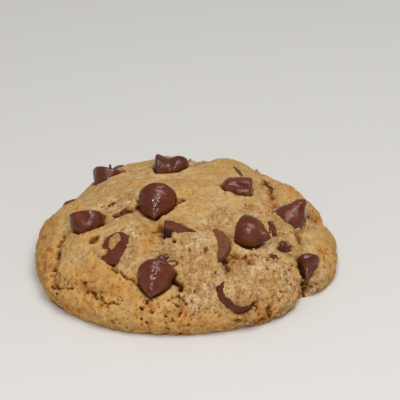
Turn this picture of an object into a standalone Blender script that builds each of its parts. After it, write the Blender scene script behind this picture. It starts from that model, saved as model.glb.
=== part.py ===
"""Chocolate chip cookie, 86 mm across, as one domed and cracked dough body with chips set into it.

The dough is a sphere primitive reshaped by a few functions: an outline, a dome profile, a flat base,
and the lobes, ridges and cracks of its crust. Each chip is a turned drop with its own tilt and curl,
and it sits in a socket cut a small gap larger than itself.
"""

import math

import bmesh
import bpy
from mathutils import Vector

# Sizes below are in millimetres and angles in degrees. Meshes are scaled to metres as they are made.
MM = 0.001

# Dough body
MEAN_RADIUS = 41.8          # of the outline at the dough's widest ring
DOUGH_HEIGHT = 20.6         # top of the dome above the base
WIDEST_HEIGHT = 4.5         # height of the widest ring
BASE_INSET = 1.8            # how far the flat base lies inside the widest ring
DOME_POWER = 2.2            # how flat the crown is
SHOULDER_POWER = 0.65       # how square the shoulders are
SIDE_POWER = 3.0            # how late towards the widest ring the relief turns from up to outward
SPHERE_SUBDIVISIONS = 5
CROWN_ANGLE = 118.0         # polar angle of the sphere that becomes the widest ring
BASE_ANGLE = 150.0          # polar angle of the sphere that becomes the rim of the base

# Waves of the outline: (waves around the edge, height of the wave, phase of its crest)
OUTLINE_WAVES = ((1, 0.95, -130.0), (2, 0.9, 30.0), (3, 1.2, -78.0), (5, 0.3, -87.0))
# Lobes and notches of the outline: (bearing, half width, height)
OUTLINE_LOBES = {
    "right front notch": (-37.5, 5.0, -2.9),
    "left front lobe": (-145.0, 12.0, 1.2),
    "front left lobe": (-120.0, 14.0, 0.6),
    "front right lobe": (-60.0, 9.0, 0.8),
    "right lobe": (-18.0, 8.0, 0.6),
    "right back lobe": (20.0, 8.0, 0.9),
    "back notch": (75.0, 6.0, -0.8),
    "left back notch": (150.0, 7.0, -0.5),
    "left lobe": (172.0, 8.0, 0.8),
}

# Lobes and hollows of the crust: (x, y, radius, height)
LOBES = {
    "front knob": (14.8, -33.8, 3.6, 2.8),
    "crumbly lump": (28.6, -13.2, 4.0, 2.0),
    "right lobe": (37.0, -8.0, 6.5, 1.0),
    "right front lobe": (24.0, -28.0, 6.5, 0.9),
    "right back lobe": (27.0, 13.5, 5.5, 0.8),
    "left plate": (-30.0, -14.0, 7.0, 0.9),
    "left shoulder": (-34.0, 4.0, 6.0, 0.8),
    "lobe left of the middle": (-13.0, -14.0, 3.8, 0.9),
    "left crumbs": (-17.5, 1.0, 4.5, 0.9),
    "front plate": (-21.0, -29.0, 5.5, 0.6),
    "middle front": (0.5, -28.0, 6.0, 0.7),
    "back crown": (-6.0, 17.0, 8.0, 0.5),
    "back left lobe": (-15.0, 28.0, 6.0, 0.7),
    "back right lobe": (15.0, 30.0, 6.0, 0.6),
    "crescent cover": (4.6, -22.4, 3.2, 1.3),
    "hollow beside the back chip": (3.6, 27.0, 4.6, -2.6),
    "hollow behind the ridge": (14.5, 8.8, 5.0, -2.0),
    "hollow below the middle chip": (-8.0, -9.5, 4.0, -0.9),
}

# Raised folds: (half width, height, (x, y) points along the fold)
FOLDS = {
    "middle": (3.2, 0.9, ((-1.0, 3.5), (4.0, 3.4), (9.7, 2.2), (15.4, 0.4), (19.3, -0.6), (22.5, -2.5))),
    "wedge cover": (1.7, 1.3, ((-5.0, -20.6), (-1.0, -20.4), (2.5, -20.0))),
    "left back": (2.8, 0.8, ((-18.0, 24.0), (-21.0, 17.5), (-23.5, 11.0))),
    "back": (3.4, 0.8, ((-6.0, 32.0), (-1.0, 31.0))),
}

# Cracks and creases: (half width, depth, (x, y) points along the crack)
CRACKS = {
    "left rim": (1.5, 2.1, ((-33.0, -7.0), (-36.0, -12.0), (-36.5, -17.0), (-37.6, -21.0), (-36.8, -25.0),
                            (-32.5, -28.0), (-24.0, -33.4), (-16.7, -36.6))),
    "right lobe": (1.8, 2.4, ((34.0, -25.5), (33.1, -22.0), (31.6, -16.0), (32.2, -10.0), (33.4, -5.0))),
    "right fold": (1.6, 1.5, ((34.0, -4.0), (37.0, 0.5), (39.5, 6.0))),
    "middle left": (1.4, 2.1, ((-22.0, -7.5), (-18.7, -6.7), (-15.4, -5.4), (-12.0, -6.0))),
    "middle right": (1.3, 1.3, ((-3.0, -4.5), (-1.0, -1.3), (1.0, 0.6))),
    "left front": (1.5, 2.0, ((-19.5, -25.5), (-15.4, -28.6), (-12.5, -31.5))),
    "front": (1.5, 2.3, ((17.5, -25.0), (12.2, -26.4), (10.4, -28.5), (9.9, -32.0), (8.2, -35.0))),
    "centre": (1.4, 1.4, ((-7.0, -15.5), (-6.6, -22.0))),
    "middle valley": (2.6, 1.9, ((-12.0, -7.0), (-9.5, -14.0), (-7.0, -19.0))),
    "right valley": (2.6, 1.7, ((24.0, 15.0), (22.3, 7.0), (23.5, 0.0))),
    "back left rim": (1.5, 1.8, ((-33.5, 19.0), (-27.0, 27.0), (-18.0, 34.0), (-8.0, 36.5))),
    "back": (1.6, 1.7, ((-2.0, 37.0), (0.0, 31.0), (-3.0, 24.0), (-9.0, 20.0))),
    "back right rim": (1.5, 1.8, ((12.0, 36.5), (21.0, 32.0), (28.5, 25.0), (33.0, 18.0))),
}

# Chips: (x, y, z of the base's centre, bearing and rise of the axis from base to tip, base radius, height,
# tip radius as a share of the base's, and how far the tip curls off the axis in x, y and z)
CHIPS = {
    "chip_back_edge": (-8.4, 18.3, 17.2, 0, 8, 4.2, 8.3, 0.60, (0.2, 0.5, 1.6)),
    "chip_left_back": (-22.6, 21.8, 15.1, -108, -42, 5.0, 7.8, 0.20, (-0.3, -0.2, 0.0)),
    "chip_left": (-28.1, -6.3, 17.6, -88, -36, 4.9, 8.6, 0.30, (0.0, 0.0, 0.0)),
    "chip_middle": (-8.1, -2.2, 20.6, -95, 0, 5.3, 8.4, 0.20, (-0.3, 0.0, -1.5)),
    "chip_front": (-8.1, -29.6, 14.2, -97, -8, 4.9, 8.4, 0.22, (-0.9, 0.0, -1.2)),
    "chip_left_front": (-19.9, -21.9, 16.8, 38, -52, 5.1, 6.8, 0.18, (0.0, 0.0, 0.0)),
    "chip_ridge": (18.2, 4.4, 17.9, 172, 5, 4.6, 8.8, 0.50, (0.0, 0.0, 0.0)),
    "chip_right_middle": (15.2, -15.8, 18.3, -32, 6, 4.6, 9.0, 0.26, (0.0, 0.0, -0.2)),
    "chip_right": (28.0, -7.4, 14.6, 30, 62, 4.6, 8.6, 0.20, (1.8, 0.0, 0.0)),
    "chip_crease": (33.6, -17.3, 10.5, -95, -35, 2.9, 6.8, 0.22, (0.0, 0.0, 0.0)),
    "chip_crescent": (6.6, -21.7, 17.5, 53, -60, 5.3, 7.0, 0.18, (0.0, 0.0, 0.0)),
    "chip_wedge": (-6.4, -15.9, 17.6, 0, -5, 3.6, 8.8, 0.20, (0.0, 0.0, 0.0)),
    "chip_knob": (13.2, -34.5, 10.3, 99, -52, 5.3, 7.2, 0.18, (0.0, 0.0, 0.0)),
    "chip_small": (26.3, -15.8, 13.6, -30, -15, 2.7, 6.4, 0.20, (0.0, 0.0, 0.0)),
    "chip_back_left": (-19.0, 29.0, 7.6, 125, -12, 4.6, 7.2, 0.20, (0.0, 0.0, 0.0)),
    "chip_back_middle": (-3.0, 36.0, 7.5, -85, -15, 4.7, 7.0, 0.20, (0.0, 0.0, 0.0)),
    "chip_back_right": (11.5, 31.0, 7.2, 68, -8, 4.6, 7.4, 0.20, (0.4, 0.0, -0.5)),
    "chip_back_low": (26.0, 25.5, 7.5, -130, -25, 4.7, 7.0, 0.20, (0.0, 0.0, 0.0)),
}

CHIP_GAP = 0.35             # left all round a chip by its socket
CHIP_STEPS = 12             # facets round a chip
CHIP_RIM = (0.90, 0.07)     # radius share of the flat base, and height share of the rounded rim
CHIP_SHARES = (0.90, 0.70, 0.42)    # height shares of the rings between the tip and the rim
DROP_FULLNESS = 1.7         # above 1 the drop stays wide further up

TIP_SQUARENESS = 8          # how square the shoulder of a blunt tip is

FLATNESS = 0.001            # how close to the base plane a face counts as the underside
WELD_DISTANCE = 0.01        # closes the seam and the ends of a turned chip
CREASE_ANGLE = 50.0         # edges sharper than this are shaded as creases

DOUGH_COLOUR = (0.56, 0.36, 0.16, 1.0)
DOUGH_ROUGHNESS = 0.85
CHOCOLATE_COLOUR = (0.085, 0.026, 0.016, 1.0)
CHOCOLATE_ROUGHNESS = 0.42


def clear_scene():
    """Remove whatever objects the file holds."""
    for item in list(bpy.data.objects):
        bpy.data.objects.remove(item, do_unlink=True)


def make_collection(name):
    """Add a collection to the scene."""
    group = bpy.data.collections.new(name)
    bpy.context.scene.collection.children.link(group)
    return group


def make_material(name, colour, roughness):
    """A plain Principled finish."""
    material = bpy.data.materials.new(name)
    material.use_nodes = True
    shader = material.node_tree.nodes["Principled BSDF"]
    shader.inputs["Base Color"].default_value = colour
    shader.inputs["Roughness"].default_value = roughness
    shader.inputs["Metallic"].default_value = 0.0
    return material


# ---------------------------------------------------------------- dough

def outline_radius(bearing):
    """Radius of the dough's widest ring at a bearing in radians."""
    radius = MEAN_RADIUS
    for waves, height, crest in OUTLINE_WAVES:
        radius += height * math.cos(waves * bearing - math.radians(crest))
    for centre, half_width, height in OUTLINE_LOBES.values():
        turn = math.degrees(math.remainder(bearing - math.radians(centre), math.tau))
        radius += height * math.exp(-(turn / half_width) ** 2)
    return radius


def distance_to_path(x, y, path):
    """Distance in plan from a point to a run of straight segments."""
    nearest = math.inf
    for (ax, ay), (bx, by) in zip(path, path[1:]):
        run_x, run_y = bx - ax, by - ay
        along = ((x - ax) * run_x + (y - ay) * run_y) / (run_x ** 2 + run_y ** 2)
        along = min(1.0, max(0.0, along))
        nearest = min(nearest, math.hypot(x - ax - along * run_x, y - ay - along * run_y))
    return nearest


def relief(x, y):
    """Height of the lobes, folds and cracks above the smooth dome at one point in plan."""
    height = 0.0
    for centre_x, centre_y, radius, rise in LOBES.values():
        height += rise * math.exp(-((x - centre_x) ** 2 + (y - centre_y) ** 2) / radius ** 2)
    for half_width, rise, path in FOLDS.values():
        height += rise * math.exp(-(distance_to_path(x, y, path) / half_width) ** 2)
    for half_width, depth, path in CRACKS.values():
        height -= depth * math.exp(-(distance_to_path(x, y, path) / half_width) ** 2)
    return height


def crown_height(share):
    """Height of the smooth dome at a share of the outline's radius."""
    return WIDEST_HEIGHT + (DOUGH_HEIGHT - WIDEST_HEIGHT) * (1.0 - share ** DOME_POWER) ** SHOULDER_POWER


def smooth_dough_point(bearing, polar):
    """Point of the dough, without its relief, that takes the place of one point of a sphere."""
    radius = outline_radius(bearing)
    crown = math.radians(CROWN_ANGLE)
    base = math.radians(BASE_ANGLE)
    if polar <= crown:
        share = math.sqrt((1.0 - math.cos(polar)) / (1.0 - math.cos(crown)))
        share = min(share, 1.0)
        reach, height = radius * share, crown_height(share)
    elif polar <= base:
        turn = 0.5 * math.pi * (polar - crown) / (base - crown)
        reach = radius - BASE_INSET * (1.0 - math.cos(turn))
        height = WIDEST_HEIGHT * (1.0 - math.sin(turn))
    else:
        reach = (radius - BASE_INSET) * (math.pi - polar) / (math.pi - base)
        height = 0.0
    return Vector((reach * math.cos(bearing), reach * math.sin(bearing), height))


def outward(bearing, polar):
    """Direction in which the crust's relief rises: up on the crown, outward on the side."""
    crown = math.radians(CROWN_ANGLE)
    slope = 0.5 * math.pi * min(1.0, (polar / crown) ** SIDE_POWER)
    side = math.sin(slope)
    return Vector((side * math.cos(bearing), side * math.sin(bearing), math.cos(slope)))


def dough_point(direction):
    """Point of the finished dough for one direction from the sphere's centre."""
    bearing = math.atan2(direction.y, direction.x)
    polar = math.acos(max(-1.0, min(1.0, direction.z)))
    point = smooth_dough_point(bearing, polar)
    crown = math.radians(CROWN_ANGLE)
    base = math.radians(BASE_ANGLE)
    fade = min(1.0, max(0.0, (base - polar) / (base - crown)))
    return point + outward(bearing, polar) * relief(point.x, point.y) * fade


def join_base(mesh):
    """Make the flat underside one face."""
    shape = bmesh.new()
    shape.from_mesh(mesh)
    limit = FLATNESS * MM
    flat = [face for face in shape.faces if all(abs(corner.co.z) < limit for corner in face.verts)]
    bmesh.ops.dissolve_faces(shape, faces=flat)
    shape.to_mesh(mesh)
    shape.free()


def make_dough(group, material):
    """The dough body as one reshaped icosphere."""
    bpy.ops.mesh.primitive_ico_sphere_add(subdivisions=SPHERE_SUBDIVISIONS, radius=1.0)
    dough = bpy.context.object
    dough.name = "dough"
    for vertex in dough.data.vertices:
        vertex.co = dough_point(vertex.co.normalized()) * MM
    join_base(dough.data)
    dough.data.materials.append(material)
    for owner in list(dough.users_collection):
        owner.objects.unlink(dough)
    group.objects.link(dough)
    return dough


# ---------------------------------------------------------------- chips

def drop_radius(share, tip):
    """Radius of a drop at a share of its height, from a full base to a small round tip."""
    cone = (1.0 - tip) * 0.5 * (1.0 + math.cos(math.pi * share ** DROP_FULLNESS))
    return cone + tip * math.sqrt(1.0 - share ** TIP_SQUARENESS)


def drop_profile(radius, height, tip, gap):
    """Half outline of a drop from its tip down to the middle of its base, grown by a gap."""
    flat, rim = CHIP_RIM
    points = [(0.0, height + gap)]
    for share in CHIP_SHARES:
        points.append((radius * drop_radius(share, tip) + gap, share * height + gap * share))
    points.append((radius + gap, rim * height))
    points.append((radius * flat + gap, -gap))
    points.append((0.0, -gap))
    return points


def turned(name, profile):
    """Mesh made by turning a profile about Z with a Screw modifier."""
    outline = bpy.data.meshes.new(name + "_profile")
    corners = [(reach * MM, 0.0, height * MM) for reach, height in profile]
    edges = [(index, index + 1) for index in range(len(corners) - 1)]
    outline.from_pydata(corners, edges, [])
    holder = bpy.data.objects.new(name + "_profile", outline)
    bpy.context.scene.collection.objects.link(holder)
    screw = holder.modifiers.new("Turn", "SCREW")
    screw.steps = CHIP_STEPS
    screw.render_steps = CHIP_STEPS
    screw.use_merge_vertices = True
    screw.merge_threshold = WELD_DISTANCE * MM
    bpy.context.view_layer.update()
    evaluated = holder.evaluated_get(bpy.context.evaluated_depsgraph_get())
    mesh = bpy.data.meshes.new_from_object(evaluated)
    mesh.name = name
    bpy.data.objects.remove(holder, do_unlink=True)
    return mesh


def place_drop(mesh, base, bearing, rise, height, curl):
    """Move a drop's mesh to its place: tilt it, set its base down and curl its tip."""
    turn = math.radians(bearing)
    lift = math.radians(rise)
    axis = Vector((math.cos(lift) * math.cos(turn), math.cos(lift) * math.sin(turn), math.sin(lift)))
    tilt = Vector((0.0, 0.0, 1.0)).rotation_difference(axis).to_matrix()
    for vertex in mesh.vertices:
        share = max(0.0, vertex.co.z / (height * MM))
        vertex.co = (tilt @ vertex.co) + (Vector(base) + Vector(curl) * share ** 2) * MM


def make_drop(name, row, gap, group, material):
    """One chip, or with a gap the cutter for its socket."""
    x, y, z, bearing, rise, radius, height, tip, curl = row
    mesh = turned(name, drop_profile(radius, height, tip, gap))
    place_drop(mesh, (x, y, z), bearing, rise, height, curl)
    mesh.materials.append(material)
    drop = bpy.data.objects.new(name, mesh)
    group.objects.link(drop)
    return drop


def cut_sockets(dough, chocolate, cutters):
    """Cut the dough back round every chip."""
    for name, row in CHIPS.items():
        cutter = make_drop(name + "_socket", row, CHIP_GAP, cutters, chocolate)
        cutter.hide_render = True
        cutter.display_type = "WIRE"
        cut = dough.modifiers.new(name + "_socket", "BOOLEAN")
        cut.operation = "DIFFERENCE"
        cut.solver = "EXACT"
        cut.object = cutter


def shade_rounded(item):
    """Smooth shading with sharp edges where faces meet at more than the crease angle."""
    item.data.shade_smooth()
    item.data.set_sharp_from_angle(angle=math.radians(CREASE_ANGLE))


def main():
    """Build the cookie."""
    clear_scene()
    cookie = make_collection("chocolate_chip_cookie")
    cutters = make_collection("cutters")
    crust = make_material("dough", DOUGH_COLOUR, DOUGH_ROUGHNESS)
    chocolate = make_material("chocolate", CHOCOLATE_COLOUR, CHOCOLATE_ROUGHNESS)
    dough = make_dough(cookie, crust)
    for name, row in CHIPS.items():
        shade_rounded(make_drop(name, row, 0.0, cookie, chocolate))
    cut_sockets(dough, chocolate, cutters)
    shade_rounded(dough)


main()
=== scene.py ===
import math

import bmesh
import bpy
import numpy as np
from mathutils import Matrix, Vector
from mathutils.bvhtree import BVHTree


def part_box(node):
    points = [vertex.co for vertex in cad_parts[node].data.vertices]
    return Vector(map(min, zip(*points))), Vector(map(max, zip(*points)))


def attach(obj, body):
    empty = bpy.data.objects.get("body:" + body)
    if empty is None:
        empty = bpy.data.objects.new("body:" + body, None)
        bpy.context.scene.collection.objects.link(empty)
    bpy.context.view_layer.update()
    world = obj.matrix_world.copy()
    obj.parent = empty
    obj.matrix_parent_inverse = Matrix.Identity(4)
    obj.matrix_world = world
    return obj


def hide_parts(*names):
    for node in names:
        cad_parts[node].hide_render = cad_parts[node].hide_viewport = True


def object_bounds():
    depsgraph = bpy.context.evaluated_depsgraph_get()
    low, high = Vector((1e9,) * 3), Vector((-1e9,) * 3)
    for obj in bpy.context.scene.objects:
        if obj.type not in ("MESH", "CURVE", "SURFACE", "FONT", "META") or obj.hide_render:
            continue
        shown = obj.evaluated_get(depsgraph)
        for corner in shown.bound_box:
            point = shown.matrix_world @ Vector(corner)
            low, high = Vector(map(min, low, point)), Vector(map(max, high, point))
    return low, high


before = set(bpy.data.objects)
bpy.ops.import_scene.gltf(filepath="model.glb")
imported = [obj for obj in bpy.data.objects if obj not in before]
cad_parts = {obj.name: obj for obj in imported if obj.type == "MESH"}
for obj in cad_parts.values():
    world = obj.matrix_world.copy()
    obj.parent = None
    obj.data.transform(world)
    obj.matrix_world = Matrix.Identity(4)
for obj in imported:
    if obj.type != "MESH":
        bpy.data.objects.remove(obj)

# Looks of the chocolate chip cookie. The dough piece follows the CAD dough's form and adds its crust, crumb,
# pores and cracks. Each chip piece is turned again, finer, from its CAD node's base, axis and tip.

CAD_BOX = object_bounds()
MM = 0.001                   # sizes below are in millimetres and angles in degrees, unless said otherwise


# ------------------------------------------------------------------ form of the dough, as in the CAD

MEAN_RADIUS = 41.8
DOUGH_HEIGHT = 20.6
WIDEST_HEIGHT = 4.5
BASE_INSET = 1.8
DOME_POWER = 2.2
SHOULDER_POWER = 0.65
SIDE_POWER = 3.0
CROWN_ANGLE = 118.0

# Waves of the outline: (waves around the edge, height of the wave, phase of its crest)
OUTLINE_WAVES = ((1, 0.95, -130.0), (2, 0.9, 30.0), (3, 1.2, -78.0), (5, 0.3, -87.0))
# Lobes and notches of the outline: (bearing, half width, height)
OUTLINE_LOBES = {
    "right front notch": (-37.5, 5.0, -2.9),
    "left front lobe": (-145.0, 12.0, 1.2),
    "front left lobe": (-120.0, 14.0, 0.6),
    "front right lobe": (-60.0, 9.0, 0.8),
    "right lobe": (-18.0, 8.0, 0.75),
    "right edge lobe": (-1.0, 5.0, 0.3),
    "right back lobe": (20.0, 8.0, 0.9),
    "back notch": (75.0, 6.0, -0.8),
    "left back notch": (150.0, 7.0, -0.5),
    "left lobe": (172.0, 8.0, 0.8),
    "right fold notch": (10.0, 3.5, -1.1),
    "step at the left": (155.0, 4.5, -0.9),
    "step at the left front": (-156.0, 4.0, -0.9),
}

# Lobes and hollows of the crust: (x, y, radius, height)
LOBES = {
    "front knob": (14.8, -33.8, 3.6, 2.8),
    "crumbly lump": (28.6, -13.2, 4.0, 2.0),
    "right lobe": (37.0, -8.0, 6.5, 1.0),
    "right front lobe": (24.0, -28.0, 6.5, 0.9),
    "right back lobe": (27.0, 13.5, 5.5, 0.8),
    "left plate": (-30.0, -14.0, 7.0, 0.9),
    "left shoulder": (-34.0, 4.0, 6.0, 0.8),
    "lobe left of the middle": (-13.0, -14.0, 3.8, 0.9),
    "left crumbs": (-17.5, 1.0, 4.5, 0.9),
    "front plate": (-21.0, -29.0, 5.5, 0.6),
    "middle front": (0.5, -28.0, 6.0, 0.7),
    "back crown": (-6.0, 17.0, 8.0, 0.5),
    "back left lobe": (-15.0, 28.0, 6.0, 0.7),
    "back right lobe": (15.0, 30.0, 6.0, 0.6),
    "crescent cover": (4.6, -22.4, 3.2, 1.3),
    "hollow beside the back chip": (3.6, 27.0, 4.2, -3.2),
    "notch of the skyline": (0.8, 21.5, 3.4, -1.5),
    "notch of the skyline, behind": (1.6, 32.0, 3.6, -1.6),
    "hollow behind the ridge": (14.5, 8.8, 5.0, -2.0),
    "hollow below the middle chip": (-8.0, -9.5, 4.0, -1.4),
    "top of the crumbly lump": (27.6, -12.6, 3.0, 1.0),
    "edge behind the back chip": (9.5, 22.5, 4.5, 1.1),
    "hollow before the back chip": (-5.0, 13.5, 4.5, -1.0),
    "step behind the ridge": (24.4, 7.5, 2.4, -2.0),
    "step behind the ridge, near end": (23.8, 1.0, 2.2, -1.2),
    "step behind the ridge, far end": (23.8, 14.0, 2.6, -1.7),
    "skyline over the back right": (10.0, 27.0, 5.5, 0.9),
    "lobe behind the right chip": (29.3, 12.0, 4.0, 0.9),
    "hollow beside the left chip": (-23.4, -9.6, 2.8, -1.2),
    "crumbs over the left crack": (-17.0, -1.4, 2.4, 1.0),
    "gap between the left crumbs": (-21.0, -2.6, 1.5, -0.9),
    "hollow behind the front chip": (-13.6, -24.4, 3.0, -1.2),
    "edge of the left plate": (-24.4, -22.6, 3.0, 0.8),
    "edge of the left plate, behind": (-27.0, -14.6, 3.0, 0.6),
    "left of the middle, raised": (-15.5, -14.0, 3.0, 0.7),
    "hollow behind the left chip": (-24.4, -3.4, 2.2, -0.9),
    "crumbs behind the left crack": (-22.6, 1.6, 2.2, 0.7),
}

# Raised folds: (half width, height, (x, y) points along the fold)
FOLDS = {
    "middle": (3.2, 0.9, ((-1.0, 3.5), (4.0, 3.4), (9.7, 2.2), (15.4, 0.4), (19.3, -0.6), (22.5, -2.5))),
    "wedge cover": (1.7, 1.3, ((-5.0, -20.6), (-1.0, -20.4), (2.5, -20.0))),
    "left back": (2.8, 0.8, ((-18.0, 24.0), (-21.0, 17.5), (-23.5, 11.0))),
    "back": (3.4, 0.8, ((-6.0, 32.0), (-1.0, 31.0))),
    "edge over the wedge": (1.5, 0.8, ((-7.0, -10.6), (-4.6, -12.4), (-1.5, -14.2), (2.0, -15.4))),
}

# Cracks and creases: (half width, depth, (x, y) points along the crack)
CRACKS = {
    "left rim": (1.5, 2.1, ((-33.0, -7.0), (-36.0, -12.0), (-36.5, -17.0), (-37.6, -21.0), (-36.8, -25.0),
                            (-32.5, -28.0), (-24.0, -33.4), (-16.7, -36.6))),
    "right lobe": (1.8, 2.4, ((34.0, -25.5), (33.1, -22.0), (31.6, -16.0), (32.2, -10.0), (33.4, -5.0))),
    "right fold": (1.6, 1.5, ((34.0, -4.0), (37.0, 0.5), (39.5, 6.0))),
    "middle left": (1.4, 2.1, ((-22.0, -7.5), (-18.7, -6.7), (-15.4, -5.4), (-12.0, -6.0))),
    "middle right": (1.3, 1.3, ((-3.0, -4.5), (-1.0, -1.3), (1.0, 0.6))),
    "left front": (1.5, 2.0, ((-19.5, -25.5), (-15.4, -28.6), (-12.5, -31.5))),
    "front": (1.5, 2.3, ((17.5, -25.0), (12.2, -26.4), (10.4, -28.5), (9.9, -32.0), (8.2, -35.0))),
    "centre": (1.4, 1.4, ((-7.0, -15.5), (-6.6, -22.0))),
    "middle valley": (2.6, 1.9, ((-12.0, -7.0), (-9.5, -14.0), (-7.0, -19.0))),
    "right valley": (2.6, 1.7, ((24.0, 15.0), (22.3, 7.0), (23.5, 0.0))),
    "back left rim": (1.5, 1.8, ((-33.5, 19.0), (-27.0, 27.0), (-18.0, 34.0), (-8.0, 36.5))),
    "back": (1.6, 1.7, ((-2.0, 37.0), (0.0, 31.0), (-3.0, 24.0), (-9.0, 20.0))),
    "back right rim": (1.5, 1.8, ((12.0, 36.5), (21.0, 32.0), (28.5, 25.0), (33.0, 18.0))),
}

# ------------------------------------------------------------------ fine form of the dough

GRID_CELLS = 280             # of the top and side, each way
BASE_CELLS = 140             # of the underside, each way

FRONT_LIMIT = 12.0           # splits that start behind this stay as they are: the camera doesn't see them
CRACK_SHARE = 0.55           # of a crack's depth that is left broad, for the splits and pits below to deepen

# Sharp splits that run down inside the creases: (half width, depth, darkness, points). Darkness is painted shade
# with the browner crumb inside; the darkest reach the near-black painted shadow. Points are (x, y) on the smooth
# dome or (x, y, z).
SPLITS = {
    "plate, left": (0.38, 0.8, 0.70, ((-34.4, -7.5, 12.1), (-35.4, -10.0, 11.4), (-36.0, -13.3, 10.5),
                                      (-36.1, -17.3, 9.2), (-36.9, -19.5, 7.4), (-36.7, -23.0, 6.7),
                                      (-35.5, -24.3, 6.0))),
    "plate, front": (0.32, 0.8, 0.85, ((-37.2, -24.4, 5.7), (-34.9, -25.3, 6.0), (-32.0, -27.9, 7.4),
                                       (-29.2, -28.5, 8.8),
                                       (-26.9, -30.6, 8.2), (-24.7, -32.0, 7.9), (-22.7, -33.8, 7.9),
                                       (-20.2, -35.4, 7.9), (-18.1, -35.4, 7.6))),
    "left of the middle chip": (0.50, 1.4, 1.0, ((-20.6, -7.8), (-17.6, -7.1), (-15.4, -6.7), (-13.0, -5.7))),
    "plate to front chip": (0.45, 1.3, 1.0, ((-20.3, -27.0), (-18.1, -28.6), (-16.2, -30.3), (-14.4, -32.2))),
    "below the crescent": (0.40, 0.7, 0.6, ((12.5, -23.4, 14.9), (15.0, -23.7, 14.5), (17.7, -24.2, 13.8))),
    "above the knob": (0.55, 1.2, 1.0, ((11.1, -24.8, 13.6), (10.8, -26.9, 13.0), (10.2, -29.3, 12.7),
                                        (9.3, -32.2, 12.7))),
    "right of the knob": (0.40, 0.9, 0.9, ((17.6, -35.4, 8.1), (19.0, -35.7, 6.6), (20.9, -35.6, 5.2),
                                           (22.9, -34.8, 3.6))),
    "right of the front chip": (0.58, 2.4, 1.8, ((-4.4, -30.2, 12.4), (-3.6, -30.3, 11.5), (-2.5, -31.5, 11.1),
                                                 (-1.9, -32.6, 11.4))),
    "round the crumbly lump": (0.50, 1.2, 1.0, ((31.3, -11.2, 14.7), (32.1, -11.9, 13.2), (31.2, -14.6, 12.6),
                                                (28.9, -19.3, 14.4), (26.7, -18.6, 13.3))),
    "right crease": (0.60, 1.4, 1.0, ((31.8, -12.5), (31.2, -17.0), (31.4, -21.0), (32.6, -24.0))),
    "right of the middle chip": (0.50, 0.6, 0.5, ((-1.6, -4.4, 20.2), (-2.5, -1.8, 19.6))),
    "right edge fold": (0.90, 1.0, 0.45, ((33.8, 1.0, 10.5), (35.6, 3.8, 9.5), (38.4, 9.3, 7.1))),
    "behind the ridge": (1.10, 0.9, 0.32, ((24.0, 18.1, 13.8), (24.5, 11.1, 15.0), (24.5, 4.8, 15.4),
                                           (24.0, -0.5, 16.6), (23.4, -6.5, 17.7))),
    "front, left": (0.35, 0.9, 0.9, ((-9.7, -36.6, 9.7), (-10.4, -37.6, 8.4), (-9.8, -38.6, 7.0))),
    "front, middle": (0.30, 0.8, 0.6, ((-2.5, -35.5, 10.2), (-1.7, -37.6, 8.7), (-2.0, -38.9, 6.7))),
    "front, second": (0.30, 0.7, 0.8, ((-6.5, -38.7, 8.2), (-5.7, -40.0, 6.2))),
    "back left": (0.45, 1.2, 0.8, ((-32.8, 20.0), (-27.0, 27.2), (-18.0, 33.8), (-9.5, 36.2))),
    "back": (0.50, 1.3, 0.9, ((-1.6, 36.2), (0.2, 31.0), (-3.0, 24.6))),
    "back right": (0.45, 1.2, 0.8, ((13.5, 36.2), (21.0, 31.8), (28.5, 25.0), (32.4, 19.0))),
}


def linear(red, green, blue):
    """Linear colour from display values of 0 to 255."""
    shares = [value / 255.0 for value in (red, green, blue)]
    return tuple(share / 12.92 if share <= 0.04045 else ((share + 0.055) / 1.055) ** 2.4 for share in shares)


# ------------------------------------------------------------------ noise

def hashed(cells, seed):
    """A number from 0 to 1 for each lattice cell, the same each run."""
    x, y, z = (cells[..., axis].astype(np.int64).astype(np.uint64) for axis in range(3))
    mixed = x * np.uint64(73856093) ^ y * np.uint64(19349663) ^ z * np.uint64(83492791)
    mixed = (mixed ^ np.uint64(seed * 2654435761)) & np.uint64(0xFFFFFFFF)
    for shift, factor in ((16, 2246822519), (13, 3266489917)):
        mixed = ((mixed ^ (mixed >> np.uint64(shift))) * np.uint64(factor)) & np.uint64(0xFFFFFFFF)
    mixed = mixed ^ (mixed >> np.uint64(16))
    return mixed.astype(float) / 4294967296.0


def noise(points, size, seed):
    """Smooth gradient noise of one feature size, from about -1 to 1."""
    place = points / size
    cell = np.floor(place)
    inside = place - cell
    blend = inside ** 3 * (inside * (inside * 6.0 - 15.0) + 10.0)
    total = np.zeros(len(points))
    for corner in np.ndindex(2, 2, 2):
        corner = np.array(corner)
        turn = hashed(cell + corner, seed) * math.tau
        lift = hashed(cell + corner, seed + 101) * 2.0 - 1.0
        flat = np.sqrt(1.0 - lift ** 2)
        away = inside - corner
        slope = flat * np.cos(turn) * away[:, 0] + flat * np.sin(turn) * away[:, 1] + lift * away[:, 2]
        weight = np.prod(np.where(corner, blend, 1.0 - blend), axis=1)
        total += weight * slope
    return total * 1.6


def layered(points, size, seed, layers=3):
    """Noise with finer layers on it, each half the size and half the height of the last."""
    total = np.zeros(len(points))
    for layer in range(layers):
        total += noise(points, size / 2 ** layer, seed + 7 * layer) / 2 ** layer
    return total


def cell_distances(points, size, seed):
    """Distances, in cells, to the nearest and second nearest of one random point in each lattice cell."""
    place = points / size
    cell = np.floor(place)
    nearest = np.full(len(points), 9.0)
    second = np.full(len(points), 9.0)
    for step in np.ndindex(3, 3, 3):
        near = cell + np.array(step) - 1.0
        spot = np.stack([hashed(near, seed + axis) for axis in range(3)], axis=1) + near
        gap = np.linalg.norm(place - spot, axis=1)
        second = np.minimum(second, np.maximum(nearest, gap))
        nearest = np.minimum(nearest, gap)
    return nearest, second


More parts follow.
